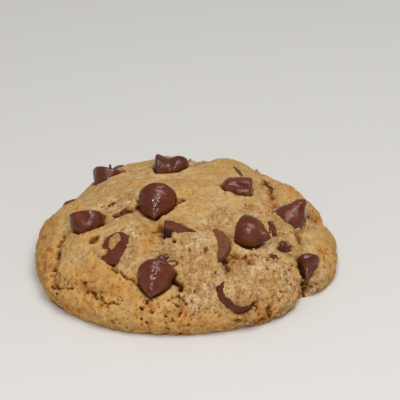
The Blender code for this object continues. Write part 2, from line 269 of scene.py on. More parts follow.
def pores(points, size, seed, share):
    """Depth from 0 to 1 of round pores. A larger share, one number for each point, gives more and wider ones."""
    place = points / size
    cell = np.floor(place)
    depth = np.zeros(len(points))
    for step in np.ndindex(3, 3, 3):
        near = cell + np.array(step) - 1.0
        spot = np.stack([hashed(near, seed + axis) for axis in range(3)], axis=1) + near
        width = 0.62 * np.clip(share - hashed(near, seed + 3), 0.0, 1.0) ** 0.5
        gap = np.linalg.norm(place - spot, axis=1)
        depth = np.maximum(depth, 1.0 - (gap / np.maximum(width, 1e-6)) ** 2)
    return depth


# ------------------------------------------------------------------ dough form

def outline_radius(bearing):
    """Radius of the dough's widest ring at bearings in radians."""
    radius = np.full(np.shape(bearing), MEAN_RADIUS)
    for waves, height, crest in OUTLINE_WAVES:
        radius = radius + height * np.cos(waves * bearing - math.radians(crest))
    for centre, half_width, height in OUTLINE_LOBES.values():
        turn = np.degrees(np.angle(np.exp(1j * (bearing - math.radians(centre)))))
        radius = radius + height * np.exp(-(turn / half_width) ** 2)
    return radius


def crown_height(share):
    """Height of the smooth dome at shares of the outline's radius."""
    rise = (1.0 - np.clip(share, 0.0, 1.0) ** DOME_POWER) ** SHOULDER_POWER
    return WIDEST_HEIGHT + (DOUGH_HEIGHT - WIDEST_HEIGHT) * rise


def path_distance(x, y, path):
    """Distance in plan from points to a run of straight segments."""
    nearest = np.full(len(x), 1e9)
    for (ax, ay), (bx, by) in zip(path, path[1:]):
        run_x, run_y = bx - ax, by - ay
        along = np.clip(((x - ax) * run_x + (y - ay) * run_y) / (run_x ** 2 + run_y ** 2), 0.0, 1.0)
        nearest = np.minimum(nearest, np.hypot(x - ax - along * run_x, y - ay - along * run_y))
    return nearest


def relief(x, y):
    """Height of the lobes, folds and creases above the smooth dome."""
    height = np.zeros(len(x))
    for centre_x, centre_y, radius, rise in LOBES.values():
        height += rise * np.exp(-((x - centre_x) ** 2 + (y - centre_y) ** 2) / radius ** 2)
    for half_width, rise, path in FOLDS.values():
        height += rise * np.exp(-(path_distance(x, y, path) / half_width) ** 2)
    for name, (half_width, depth, path) in CRACKS.items():
        share = 1.0 if "valley" in name or "fold" in name else CRACK_SHARE
        height -= share * depth * np.exp(-(path_distance(x, y, path) / half_width) ** 2)
    return height


def square_to_disc(cells):
    """Points of a square grid spread evenly over a disc of radius 1: (bearing, distance from the middle)."""
    across = np.linspace(-1.0, 1.0, cells + 1)
    a, b = np.meshgrid(across, across, indexing="xy")
    a, b = a.ravel(), b.ravel()
    wide = np.abs(a) >= np.abs(b)
    safe_a = np.where(a == 0.0, 1.0, a)
    safe_b = np.where(b == 0.0, 1.0, b)
    distance = np.where(wide, a, b)
    bearing = np.where(wide, 0.25 * math.pi * b / safe_a, 0.5 * math.pi - 0.25 * math.pi * a / safe_b)
    bearing = np.where(distance < 0.0, bearing + math.pi, bearing)
    return bearing, np.abs(distance)


def profile_stage(distance):
    """Stage along the dough's profile, 0 to 1 over the crown and 1 to 2 down the side, evenly by area."""
    stages = np.linspace(0.0, 2.0, 4001)
    turn = 0.5 * math.pi * np.clip(stages - 1.0, 0.0, 1.0)
    reach = np.where(stages <= 1.0, MEAN_RADIUS * stages, MEAN_RADIUS - BASE_INSET * (1.0 - np.cos(turn)))
    height = np.where(stages <= 1.0, crown_height(stages), WIDEST_HEIGHT * (1.0 - np.sin(turn)))
    length = np.hypot(np.diff(reach), np.diff(height))
    area = np.concatenate([[0.0], np.cumsum(length * 0.5 * (reach[1:] + reach[:-1]))])
    return np.interp(distance ** 2, area / area[-1], stages)


def dough_surface(bearing, stage):
    """Points of the dough with its lobes and creases, before the fine form."""
    radius = outline_radius(bearing)
    share = np.minimum(stage, 1.0)
    turn = 0.5 * math.pi * np.clip(stage - 1.0, 0.0, 1.0)
    reach = np.where(stage <= 1.0, radius * share, radius - BASE_INSET * (1.0 - np.cos(turn)))
    height = np.where(stage <= 1.0, crown_height(share), WIDEST_HEIGHT * (1.0 - np.sin(turn)))
    x, y = reach * np.cos(bearing), reach * np.sin(bearing)
    crown = math.radians(CROWN_ANGLE)
    polar = np.arccos(1.0 - share ** 2 * (1.0 - math.cos(crown)))
    slope = 0.5 * math.pi * np.minimum(1.0, (polar / crown) ** SIDE_POWER)
    rise = relief(x, y) * np.clip(2.0 - stage, 0.0, 1.0)
    side = np.sin(slope) * rise
    return np.stack([x + side * np.cos(bearing), y + side * np.sin(bearing), height + np.cos(slope) * rise], axis=1)


def grid_normals(points, cells):
    """Outward normals of a square grid of points."""
    sheet = points.reshape(cells + 1, cells + 1, 3)
    normal = np.cross(np.gradient(sheet, axis=1), np.gradient(sheet, axis=0)).reshape(-1, 3)
    return normal / np.maximum(np.linalg.norm(normal, axis=1, keepdims=True), 1e-12)


# ------------------------------------------------------------------ chips, read from their nodes

CHIP_SEGMENTS = 72
CHIP_RINGS = 40
RIM_SHARE = 0.07             # height share of the rounded rim, as in the CAD
FLAT_SHARE = 0.90            # radius share of the flat base, as in the CAD
DROP_FULLNESS = 1.7
TIP_SQUARENESS = 8
RING_SHARE = 0.90            # height share of the CAD chip's ring next to its tip


def node_triangles(node):
    """Triangles of a CAD node's mesh as three corners each, in millimetres."""
    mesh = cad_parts[node].data
    points = np.zeros(len(mesh.vertices) * 3)
    mesh.vertices.foreach_get("co", points)
    mesh.calc_loop_triangles()
    faces = np.zeros(len(mesh.loop_triangles) * 3, dtype=np.int64)
    mesh.loop_triangles.foreach_get("vertices", faces)
    return points.reshape(-1, 3)[faces.reshape(-1, 3)] / MM


def drop_radius(share, tip):
    """Radius of a drop, as a share of its base's, at height shares from 0 at the base to 1 at the tip."""
    cone = (1.0 - tip) * 0.5 * (1.0 + np.cos(math.pi * share ** DROP_FULLNESS))
    return cone + tip * np.sqrt(np.clip(1.0 - share ** TIP_SQUARENESS, 0.0, 1.0))


def measure_chip(node):
    """Base centre, axis, side direction, radius, height, tip share and curl of a chip, from its CAD mesh."""
    corners = node_triangles(node)
    normal = np.cross(corners[:, 1] - corners[:, 0], corners[:, 2] - corners[:, 0])
    area = np.linalg.norm(normal, axis=1)
    normal = normal / area[:, None]
    alike = (normal @ normal.T) > math.cos(math.radians(1.0))
    flat = alike[np.argmax(alike @ area)]
    centre = (corners[flat].mean(axis=1) * area[flat, None]).sum(axis=0) / area[flat].sum()
    axis = -normal[flat].mean(axis=0)
    axis /= np.linalg.norm(axis)
    spots = corners.reshape(-1, 3)
    radius = np.linalg.norm(corners[flat].reshape(-1, 3) - centre, axis=1).max() / FLAT_SHARE
    along = (spots - centre) @ axis
    height = along.max()
    curl = spots[np.argmax(along)] - centre - axis * height
    ring = spots[np.abs(along / height - RING_SHARE) < 0.08]
    ring_radius = np.linalg.norm(ring - centre - np.outer((ring - centre) @ axis, axis) - curl * RING_SHARE ** 2,
                                 axis=1).mean() / radius
    cone = float(drop_radius(RING_SHARE, 0.0))
    blunt = float(drop_radius(RING_SHARE, 1.0))
    tip = min(0.9, max(0.1, (ring_radius - cone) / (blunt - cone)))
    up = np.array([0.0, 0.0, 1.0]) if abs(axis[2]) < 0.9 else np.array([0.0, 1.0, 0.0])
    side = up - axis * (up @ axis)
    side /= np.linalg.norm(side)
    return {"centre": centre, "axis": axis, "side": side, "radius": radius, "height": height, "tip": tip,
            "curl": curl}


def bell(value, centre, width):
    """A smooth bump of height 1."""
    return np.exp(-((value - centre) / width) ** 2)


def turn_bell(turn, centre, width):
    """A smooth bump of height 1 round a chip, from angles in degrees."""
    return np.exp(-(((turn - centre + 180.0) % 360.0 - 180.0) / width) ** 2)


# ------------------------------------------------------------------ looks of single chips

# Bands round the drop: (height share, width, change of radius in mm).
# Dents and bumps: (height share, angle round the axis from its upper side, share width, angle width, depth in mm).
# A line in the camera's plane, as two (across, up) points, below which a chip is darkened as painted shade.
PLAIN_CHIP = {"bands": ((0.15, 0.03, -0.12),), "dents": (), "wrinkles": 0.06, "lumps": 0.12, "bloom": 0.0,
              "tone": 1.0, "bend": (0.0, 0.0, 0.0), "base": 0.0, "blunt": 0.0,
              "shaded": None}
CHIP_LOOKS = {
    "chip_back_edge": {"bands": ((0.05, 0.08, 0.25), (0.40, 0.16, -0.35)), "lumps": 0.10, "base": 1.0,
                       "dents": ((0.05, 0.0, 0.22, 55.0, 0.8), (0.44, 0.0, 0.18, 60.0, -0.45),
                                 (0.74, 0.0, 0.18, 60.0, 0.2)), "bend": (0.6, 0.0, -0.3), "tone": 0.8},
    "chip_left_back": {"bands": ((0.10, 0.07, 0.15), (0.34, 0.14, -0.20)), "lumps": 0.15, "tone": 0.9},
    "chip_left": {"base": -0.9, "dents": ((0.20, 10.0, 0.22, 26.0, -0.9), (0.62, 40.0, 0.16, 22.0, 0.35),
                            (0.55, -30.0, 0.16, 20.0, 0.3)), "lumps": 0.22},
    "chip_middle": {"bands": ((0.09, 0.05, 0.22), (0.28, 0.030, -0.75), (0.76, 0.14, -0.55)),
                    "wrinkles": 0.16, "lumps": 0.16,
                    "dents": ((0.85, 20.0, 0.12, 30.0, 0.25), (0.5, 35.0, 0.1, 12.0, -0.2))},
    "chip_front": {"bands": ((0.09, 0.05, 0.16), (0.24, 0.03, -0.65)), "wrinkles": 0.18, "lumps": 0.16,
                   "dents": ((0.45, 12.0, 0.3, 8.0, 0.15), (0.40, -10.0, 0.25, 8.0, 0.12))},
    "chip_left_front": {"lumps": 0.12},
    "chip_ridge": {"bands": ((0.78, 0.15, 0.45),), "lumps": 0.16, "base": 0.5, "blunt": 0.12,
                   "dents": ((0.28, -30.0, 0.30, 9.0, -1.3), (0.36, -62.0, 0.25, 16.0, 0.5))},
    "chip_right_middle": {"bands": ((0.72, 0.12, -0.25), (0.90, 0.07, 0.25)), "lumps": 0.10},
    "chip_right": {"bands": ((0.64, 0.16, -0.45), (0.93, 0.08, 0.75), (0.25, 0.20, 0.10)), "lumps": 0.18,
                   "bend": (-0.3, 0.0, -0.3), "blunt": 0.07,
                   "dents": ((0.10, 0.0, 0.20, 50.0, 0.9),)},
    "chip_crease": {"bands": ((0.14, 0.10, 0.35), (0.55, 0.14, -0.70)), "lumps": 0.30, "tone": 0.85,
                    "dents": ((0.2, 50.0, 0.2, 30.0, 0.5), (0.45, -60.0, 0.2, 25.0, -0.4))},
    "chip_crescent": {"bloom": 1.0, "lumps": 0.10},
    "chip_wedge": {"bloom": 0.5, "lumps": 0.20, "tone": 0.95, "shaded": ((-6.3, 8.6), (-2.8, 7.4))},
    "chip_knob": {"bloom": 0.4, "lumps": 0.20, "tone": 0.62},
    "chip_small": {"tone": 0.8, "lumps": 0.2},
}


# Chips that show a cut or broken face
CUT_CHIPS = ("chip_crescent", "chip_wedge", "chip_knob")


def make_mesh(name, points, faces, smooth=True):
    """Mesh from points in millimetres."""
    mesh = bpy.data.meshes.new(name)
    mesh.from_pydata((points * MM).tolist(), [], faces)
    mesh.update()
    if smooth:
        mesh.shade_smooth()
    return mesh


def vertex_normals(mesh):
    """Normals of a mesh's vertices."""
    normals = np.zeros(len(mesh.vertices) * 3)
    mesh.vertex_normals.foreach_get("vector", normals)
    return normals.reshape(-1, 3)


def set_points(mesh, points):
    """Move a mesh's vertices to points in millimetres."""
    mesh.vertices.foreach_set("co", (points * MM).astype(np.float32).ravel())
    mesh.update()


def set_value(mesh, name, values):
    """Store one number at each vertex for the materials."""
    mesh.attributes.new(name, "FLOAT", "POINT").data.foreach_set("value", values.astype(np.float32))


def add_piece(name, mesh, material):
    """Put a mesh in the scene as a piece that rides on the cookie's one body."""
    mesh.materials.append(material)
    piece = bpy.data.objects.new(name, mesh)
    bpy.context.scene.collection.objects.link(piece)
    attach(piece, "root")
    return piece


def ring_faces(rings, segments, first):
    """Faces between rings of equal size that follow each other, with the first ring's points starting at first."""
    faces = []
    for ring in range(rings - 1):
        start = first + ring * segments
        for step in range(segments):
            ahead = (step + 1) % segments
            faces.append((start + step, start + segments + step, start + segments + ahead, start + ahead))
    return faces


def below_line(points, left, right):
    """Share from 0 to 1 of lying below a line in the plane seen by the camera."""
    across, up, _ = (np.array(direction) for direction in view_axes())
    slope = (right[1] - left[1]) / (right[0] - left[0])
    gap = left[1] + slope * (points @ across - left[0]) - points @ up
    return np.clip(gap / 0.5, 0.0, 1.0)


def chip_profile():
    """(height share, radius share of the base's rim or None on the body) from the tip to the base's middle."""
    body = 1.0 - (1.0 - RIM_SHARE) * np.linspace(0.0, 1.0, CHIP_RINGS)[1:] ** 1.5
    corner = np.radians(np.linspace(0.0, 90.0, 6)[1:])
    rim = [(RIM_SHARE * (1.0 - math.sin(a)), FLAT_SHARE + (1.0 - FLAT_SHARE) * math.cos(a)) for a in corner]
    flat = [(0.0, FLAT_SHARE * share) for share in (0.8, 0.6, 0.4, 0.2)]
    return [(share, None) for share in body] + rim + flat


def make_chip(node, material, seed):
    """One chip piece: its CAD drop with a rounder rim, bands, dents and fine lumps."""
    form = measure_chip(node)
    looks = {**PLAIN_CHIP, **CHIP_LOOKS.get(node, {})}
    turn = np.linspace(0.0, 360.0, CHIP_SEGMENTS, endpoint=False)
    other = np.cross(form["axis"], form["side"])
    spoke = np.outer(np.cos(np.radians(turn)), form["side"]) + np.outer(np.sin(np.radians(turn)), other)
    rings = []
    tip_share = form["tip"] + looks["blunt"]
    curl = form["curl"] + np.array(looks["bend"])
    for share, rim in chip_profile():
        reach = form["radius"] * (rim if rim is not None else float(drop_radius(share, tip_share)))
        change = np.zeros(CHIP_SEGMENTS)
        for centre, width, height in looks["bands"]:
            change += height * bell(share, centre, width)
        for centre, angle, width, spread, height in looks["dents"]:
            change += height * bell(share, centre, width) * turn_bell(turn, angle, spread)
        if rim is not None:
            change *= rim
        change *= min(1.0, reach / form["radius"] * 2.0)
        middle = form["centre"] + form["axis"] * share * form["height"] + curl * share ** 2
        if share < RIM_SHARE:
            middle = middle - form["axis"] * looks["base"] * (1.0 - (reach / form["radius"]) ** 2)
        rings.append(middle + spoke * (reach + change)[:, None])
    count = len(rings)
    tip = form["centre"] + form["axis"] * form["height"] + curl
    points = np.concatenate([[tip], *rings, [form["centre"] - form["axis"] * looks["base"]]])
    faces = [(0, 1 + step, 1 + (step + 1) % CHIP_SEGMENTS) for step in range(CHIP_SEGMENTS)]
    faces += ring_faces(count, CHIP_SEGMENTS, 1)
    last = 1 + (count - 1) * CHIP_SEGMENTS
    faces += [(len(points) - 1, last + (step + 1) % CHIP_SEGMENTS, last + step) for step in range(CHIP_SEGMENTS)]
    mesh = make_mesh(node.replace("chip", "chocolate"), points, faces)
    along = (points - form["centre"]) @ form["axis"]
    lumps = looks["lumps"] * layered(points, 3.2, seed, 3)
    creased = points + form["axis"] * (along * 3.0)[:, None]
    lumps += looks["wrinkles"] * noise(creased, 1.5, seed + 40) * (1.0 - bell(along, 0.0, 0.5))
    lumps += 0.02 * noise(points, 0.6, seed + 50)
    low, high = (np.array(corner) / MM for corner in CAD_BOX)
    set_points(mesh, np.clip(points + vertex_normals(mesh) * (lumps - 0.03)[:, None], low, high))
    set_value(mesh, "bloom", np.full(len(points), looks["bloom"]))
    tone = np.full(len(points), looks["tone"])
    # Tone darkened below that line: painted shade of the hollow under the wedge chip.
    if looks["shaded"] is not None:
        tone *= 1.0 - 0.75 * below_line(points, *looks["shaded"])
    set_value(mesh, "tone", tone)
    piece = add_piece(mesh.name, mesh, material)
    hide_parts(node)
    return piece


# ------------------------------------------------------------------ materials

def new_material(name):
    """A node material: (material, its nodes, its links, its Principled shader)."""
    material = bpy.data.materials.new(name)
    material.use_nodes = True
    tree = material.node_tree
    return material, tree.nodes, tree.links, tree.nodes["Principled BSDF"]


def noise_node(nodes, links, where, size, detail=3.0, roughness=0.55, distortion=0.0):
    """A noise texture with features of a size in millimetres."""
    node = nodes.new("ShaderNodeTexNoise")
    node.inputs["Scale"].default_value = 1.0 / (size * MM)
    node.inputs["Detail"].default_value = detail
    node.inputs["Roughness"].default_value = roughness
    node.inputs["Distortion"].default_value = distortion
    links.new(where, node.inputs["Vector"])
    return node.outputs["Fac"]


def ramp_node(nodes, links, value, stops):
    """A colour ramp from (position, colour) stops, with colours of 3 values."""
    node = nodes.new("ShaderNodeValToRGB")
    ramp = node.color_ramp
    while len(ramp.elements) < len(stops):
        ramp.elements.new(0.5)
    for element, (position, colour) in zip(ramp.elements, stops):
        element.position = position
        element.color = (*colour, 1.0)
    links.new(value, node.inputs["Fac"])
    return node.outputs["Color"]


def range_node(nodes, links, value, low, high, out_low=0.0, out_high=1.0):
    """Map a value from one range to another, held inside it."""
    node = nodes.new("ShaderNodeMapRange")
    node.inputs["From Min"].default_value = low
    node.inputs["From Max"].default_value = high
    node.inputs["To Min"].default_value = out_low
    node.inputs["To Max"].default_value = out_high
    links.new(value, node.inputs["Value"])
    return node.outputs["Result"]


def math_node(nodes, links, operation, a, b):
    """A sum, product or the like of two values, each an output or a number."""
    node = nodes.new("ShaderNodeMath")
    node.operation = operation
    for socket, value in zip(node.inputs, (a, b)):
        if isinstance(value, (int, float)):
            socket.default_value = value
        else:
            links.new(value, socket)
    return node.outputs["Value"]


def mix_node(nodes, links, share, a, b, blend="MIX"):
    """Mix two colours by a share, each an output or a colour of 3 values."""
    node = nodes.new("ShaderNodeMix")
    node.data_type = "RGBA"
    node.blend_type = blend
    for socket, value in ((node.inputs["Factor"], share), (node.inputs["A"], None), (node.inputs["B"], None)):
        if value is not None and not isinstance(value, (int, float)):
            links.new(value, socket)
        elif value is not None:
            socket.default_value = value
    colours = [socket for socket in node.inputs if socket.type == "RGBA"]
    for socket, value in zip(colours, (a, b)):
        if isinstance(value, tuple):
            socket.default_value = (*value, 1.0)
        else:
            links.new(value, socket)
    return [socket for socket in node.outputs if socket.type == "RGBA"][0]


def toned(nodes, links, colour, tone):
    """A colour times a grey tone."""
    grey = nodes.new("ShaderNodeCombineColor")
    for socket in grey.inputs[:3]:
        links.new(tone, socket)
    return mix_node(nodes, links, 1.0, colour, grey.outputs["Color"], "MULTIPLY")


def attribute_node(nodes, name):
    """A number stored at the mesh's vertices."""
    node = nodes.new("ShaderNodeAttribute")
    node.attribute_name = name
    return node.outputs["Fac"]


def bump_node(nodes, links, heights, distance):
    """Bump from (height output, strength) layers, the coarsest first."""
    normal = None
    for height, strength in heights:
        node = nodes.new("ShaderNodeBump")
        node.inputs["Strength"].default_value = strength
        node.inputs["Distance"].default_value = distance * MM
        links.new(height, node.inputs["Height"])
        if normal is not None:
            links.new(normal, node.inputs["Normal"])
        normal = node.outputs["Normal"]
    return normal


def pore_nodes(nodes, links, where):
    """Pinprick pores: (their darkness, partly brown crumb and partly painted shade, their form for the bump)."""
    cells = nodes.new("ShaderNodeTexVoronoi")
    cells.inputs["Scale"].default_value = 1.0 / (PINPRICK_SPACING * MM)
    links.new(where, cells.inputs["Vector"])
    gap = cells.outputs["Distance"]
    return range_node(nodes, links, gap, 0.06, 0.26, 1.0, 0.0), range_node(nodes, links, gap, 0.05, 0.40)


def dough_material():
    """Baked dough: golden crust that browns towards the rim, paler crumb, dark pores, fine grain; painted shade in
    pores, cracks and hollows.
    """
    material, nodes, links, shader = new_material("baked_dough")
    where = nodes.new("ShaderNodeTexCoord").outputs["Object"]
    coarse = noise_node(nodes, links, where, 6.0, 2.0)
    medium = noise_node(nodes, links, where, 2.0, 3.0, 0.6)
    fine = noise_node(nodes, links, where, 0.8, 3.0, 0.65)
    sand = noise_node(nodes, links, where, 0.35, 2.0, 0.6)
    shift = math_node(nodes, links, "ADD", range_node(nodes, links, coarse, 0.3, 0.7, -0.22, 0.22),
                      range_node(nodes, links, medium, 0.3, 0.7, -0.22, 0.22))
    shift = math_node(nodes, links, "ADD", shift, range_node(nodes, links, fine, 0.3, 0.7, -0.20, 0.20))
    level = math_node(nodes, links, "ADD", attribute_node(nodes, "browning_and_shading"), shift)
    crust = ramp_node(nodes, links, level, CRUST_COLOURS)
    crust = toned(nodes, links, crust, range_node(nodes, links, medium, 0.3, 0.7, 1.10, 0.86))
    pale = math_node(nodes, links, "ADD", medium, range_node(nodes, links, coarse, 0.3, 0.7, -0.18, 0.18))
    pale = math_node(nodes, links, "ADD", pale, range_node(nodes, links, fine, 0.3, 0.7, -0.14, 0.14))
    inner = ramp_node(nodes, links, pale, CRUMB_COLOURS)
    share = math_node(nodes, links, "MULTIPLY", attribute_node(nodes, "crumb"), CRUMB_SHARE)
    colour = mix_node(nodes, links, share, crust, inner)
    speck = range_node(nodes, links, noise_node(nodes, links, where, 1.0, 2.0, 0.5), 0.62, 0.70, 0.0, 0.55)
    colour = mix_node(nodes, links, speck, colour, SPECK_COLOUR)
    tone = math_node(nodes, links, "MULTIPLY", range_node(nodes, links, fine, 0.3, 0.7, 0.79, 1.17),
                     range_node(nodes, links, sand, 0.3, 0.7, 0.88, 1.10))
    colour = toned(nodes, links, colour, tone)
    spotted = noise_node(nodes, links, where, 1.5, 3.0, 0.65)
    stain = math_node(nodes, links, "MULTIPLY", attribute_node(nodes, "crumb"),
                      range_node(nodes, links, spotted, 0.58, 0.68, 0.0, 0.5))
    smeared = math_node(nodes, links, "MULTIPLY", attribute_node(nodes, "stain"),
                        range_node(nodes, links, spotted, 0.36, 0.56, 0.0, 1.0))
    stain = math_node(nodes, links, "MAXIMUM", stain, smeared)
    colour = mix_node(nodes, links, stain, colour, STAIN_COLOUR)
    dots, spots = pore_nodes(nodes, links, where)
    rough = math_node(nodes, links, "ADD", math_node(nodes, links, "MULTIPLY", attribute_node(nodes, "crumb"), 0.35),
                      range_node(nodes, links, attribute_node(nodes, "browning_and_shading"), 0.35, 0.85, 0.10, 0.75))
    dots = math_node(nodes, links, "MULTIPLY", dots, rough)
    colour = mix_node(nodes, links, dots, colour, PORE_BROWN_AND_SHADE)
    # Recesses, pores and splits are darkened from golden brown to dark brown, partly the crumb's own browning and
    # partly painted shade; the deepest pits and gaps get a near-black painted shadow.
    recess_brown_and_shade = attribute_node(nodes, "recess_brown_and_shade")
    colour = mix_node(nodes, links, range_node(nodes, links, recess_brown_and_shade, 0.0, 0.5, 0.0, 0.85), colour, RECESS_BROWN_AND_SHADE)
    colour = mix_node(nodes, links, range_node(nodes, links, recess_brown_and_shade, 0.55, 1.0, 0.0, 0.9), colour, PORE_BROWN_AND_SHADE)
    colour = mix_node(nodes, links, range_node(nodes, links, recess_brown_and_shade, 1.1, 1.5, 0.0, 0.85), colour, DEEP_SHADOW_COLOUR)
    links.new(colour, shader.inputs["Base Color"])
    links.new(range_node(nodes, links, medium, 0.3, 0.7, 0.72, 0.9), shader.inputs["Roughness"])
    shader.inputs["Specular IOR Level"].default_value = 0.25
    links.new(bump_node(nodes, links, ((fine, 0.8), (sand, 0.9), (spots, 0.6)), 0.30), shader.inputs["Normal"])
    return material


def chocolate_material(name, gloss, specular):
    """Dark chocolate, finely crinkled, that turns matte and greyer where it has bloomed."""
    material, nodes, links, shader = new_material(name)
    where = nodes.new("ShaderNodeTexCoord").outputs["Object"]
    cloudy = noise_node(nodes, links, where, 2.6, 3.0)
    fine = noise_node(nodes, links, where, 0.55, 3.0, 0.6, 0.6)
    bloom = attribute_node(nodes, "bloom")
    skin = ramp_node(nodes, links, cloudy, CHOCOLATE_COLOURS)
    dull = ramp_node(nodes, links, fine, BLOOM_COLOURS)
    colour = toned(nodes, links, mix_node(nodes, links, bloom, skin, dull), attribute_node(nodes, "tone"))
    links.new(colour, shader.inputs["Base Color"])
    gloss = range_node(nodes, links, cloudy, 0.3, 0.7, *gloss)
    links.new(math_node(nodes, links, "ADD", gloss, math_node(nodes, links, "MULTIPLY", bloom, 0.22)),
              shader.inputs["Roughness"])
    shader.inputs["Specular IOR Level"].default_value = specular
    creases = noise_node(nodes, links, where, 1.3, 2.0, 0.5, 1.2)
    links.new(bump_node(nodes, links, ((creases, 0.40), (fine, 0.28)), 0.3), shader.inputs["Normal"])
    return material


CRUST_COLOURS = ((0.00, linear(203, 170, 117)), (0.30, linear(194, 155, 98)), (0.55, linear(200, 155, 88)),
                 (0.80, linear(195, 137, 68)), (1.00, linear(166, 102, 46)))
CRUMB_COLOURS = ((0.22, linear(162, 112, 58)), (0.50, linear(190, 154, 101)), (0.78, linear(215, 191, 150)))
SPECK_COLOUR = linear(150, 98, 46)
# Colours of recesses and pores: partly the crumb's own browning, partly painted shade. The last is a painted shadow
# for the deepest pits and gaps.
RECESS_BROWN_AND_SHADE = linear(164, 104, 42)
PORE_BROWN_AND_SHADE = linear(104, 60, 22)
DEEP_SHADOW_COLOUR = linear(38, 20, 10)
CRUMB_SHARE = 0.85
STAIN_COLOUR = linear(140, 84, 54)
PINPRICK_SPACING = 1.15
CHOCOLATE_COLOURS = ((0.30, linear(82, 34, 16)), (0.70, linear(108, 50, 27)))
BLOOM_COLOURS = ((0.30, linear(96, 54, 38)), (0.70, linear(128, 84, 64)))
FLOOR_COLOUR = linear(217, 216, 214)


# ------------------------------------------------------------------ dough that laps over chips

CAMERA_YAW = 0.555
CAMERA_PITCH = 31.648

# The part of each chip that the dough leaves in sight: its outline in the plane seen by the camera, as (across, up)
SHOWING = {
    "chip_crescent": ((5.4, 8.9), (7.0, 8.3), (8.7, 7.7), (10.3, 6.9), (11.7, 5.3), (12.3, 3.2), (12.2, 1.3),
                      (11.1, -0.5), (9.7, -1.6), (8.9, -1.1), (8.2, 0.2), (8.5, 1.9), (8.7, 3.2), (8.4, 4.9),
                      (7.7, 6.5), (6.7, 7.6)),
    "chip_wedge": ((-6.8, 10.8), (-5.0, 10.6), (-3.1, 9.6), (-0.9, 8.8), (1.0, 8.1), (3.2, 8.1), (3.2, 7.3),
                   (1.3, 6.9), (-0.6, 7.0), (-2.3, 6.9), (-3.4, 7.1), (-4.2, 6.7), (-2.8, 5.3), (-3.4, 4.5),
                   (-5.3, 4.2), (-6.4, 5.3), (-7.0, 7.5)),
    "chip_left_front": ((-21.3, 6.5), (-20.0, 7.3), (-18.3, 7.7), (-16.7, 7.3), (-15.5, 6.0), (-15.6, 4.3),
                        (-16.6, 2.1), (-17.6, 0.2), (-18.9, -1.7), (-20.0, -3.0), (-21.9, -2.8), (-23.2, -1.4),
                        (-23.8, 0.2), (-22.7, 0.6), (-21.6, 1.2), (-21.6, 2.3), (-23.0, 1.7), (-23.2, 3.2),
                        (-22.4, 5.1)),
    "chip_knob": ((10.6, -6.0), (9.4, -6.6), (8.4, -7.8), (8.4, -9.7), (9.1, -11.3), (10.7, -12.9), (12.3, -14.0),
                  (13.9, -14.8), (15.5, -15.2), (17.2, -14.5), (18.8, -12.9), (19.0, -11.3), (17.7, -11.8),
                  (16.3, -12.8), (14.7, -12.9), (13.4, -12.3), (11.8, -11.0), (10.4, -10.0), (9.8, -8.6),
                  (10.1, -7.3)),
    "chip_right": ((23.9, 13.3), (25.0, 14.4), (26.9, 15.6), (28.9, 16.2), (30.3, 17.6), (31.7, 18.2),
                   (34.1, 17.6), (34.4, 14.6), (33.8, 12.1), (33.3, 9.6), (31.7, 7.1), (30.3, 7.7), (28.6, 8.8),
                   (26.7, 10.2), (25.0, 11.9)),
    "chip_small": ((24.4, 4.5), (26.1, 5.0), (27.4, 4.2), (28.9, 3.2), (28.7, 1.6), (26.4, 1.1), (24.8, 2.2)),
}
# Dough stuck to the face of a chip, in the same plane
STUCK = {
    "chip_left_front": ((-21.3, 4.0), (-20.9, 5.4), (-19.8, 6.3), (-18.8, 7.0), (-17.9, 6.2), (-18.0, 4.8),
                        (-19.0, 3.9), (-19.6, 2.6), (-20.6, 2.0), (-21.3, 2.9)),
}
LAP_THICKNESS = (0.15, 0.85)     # at the edge of the dough that laps over a chip, and further in
LAP_WIDTH = 1.8
STUCK_THICKNESS = 0.35


def view_axes():
    """Directions to the right, up and ahead as the camera sees them."""
    yaw, pitch = math.radians(CAMERA_YAW), math.radians(CAMERA_PITCH)
    ahead = Vector((math.sin(yaw) * math.cos(pitch), math.cos(yaw) * math.cos(pitch), -math.sin(pitch)))
    right = Vector((math.cos(yaw), -math.sin(yaw), 0.0))
    return right, right.cross(ahead), ahead


def inside_distance(places, outline):
    """Distance from each place to an outline, positive inside it."""
    corners = np.array(outline)
    inside = np.zeros(len(places), dtype=bool)
    nearest = np.full(len(places), 99.0)
    for start, end in zip(corners, np.roll(corners, -1, axis=0)):
        along = end - start
        share = np.clip((places - start) @ along / (along @ along), 0.0, 1.0)
        nearest = np.minimum(nearest, np.linalg.norm(places - start - share[:, None] * along, axis=1))
        spans = (start[1] > places[:, 1]) != (end[1] > places[:, 1])
        rise = along[1] if abs(along[1]) > 1e-9 else 1e-9
        crossing = start[0] + (places[:, 1] - start[1]) / rise * along[0]
        inside ^= spans & (places[:, 0] < crossing)
    return np.where(inside, nearest, -nearest)


def piece_tree(piece):
    """Search tree of a piece's surface in millimetres, with the corners of its box."""
    corners = np.array([vertex.co for vertex in piece.data.vertices]) / MM
    faces = [tuple(face.vertices) for face in piece.data.polygons]
    return BVHTree.FromPolygons(corners.tolist(), faces), corners.min(axis=0), corners.max(axis=0)


def chip_levels(points, normal, tree, low, high):
    """Where the chip's surface lies above each dough point, along its normal: (indices, levels, places)."""
    reach = 10.0
    found, levels, places = [], [], []
    for index in np.nonzero(np.all((points > low - 4.0) & (points < high + 4.0), axis=1))[0]:
        start = Vector(points[index] + normal[index] * reach)
        place, _, _, away = tree.ray_cast(start, Vector(-normal[index]), 2.0 * reach)
        if place is not None:
            found.append(index)
            levels.append(reach - away)
            places.append(place)
    return np.array(found), np.array(levels), np.array(places)


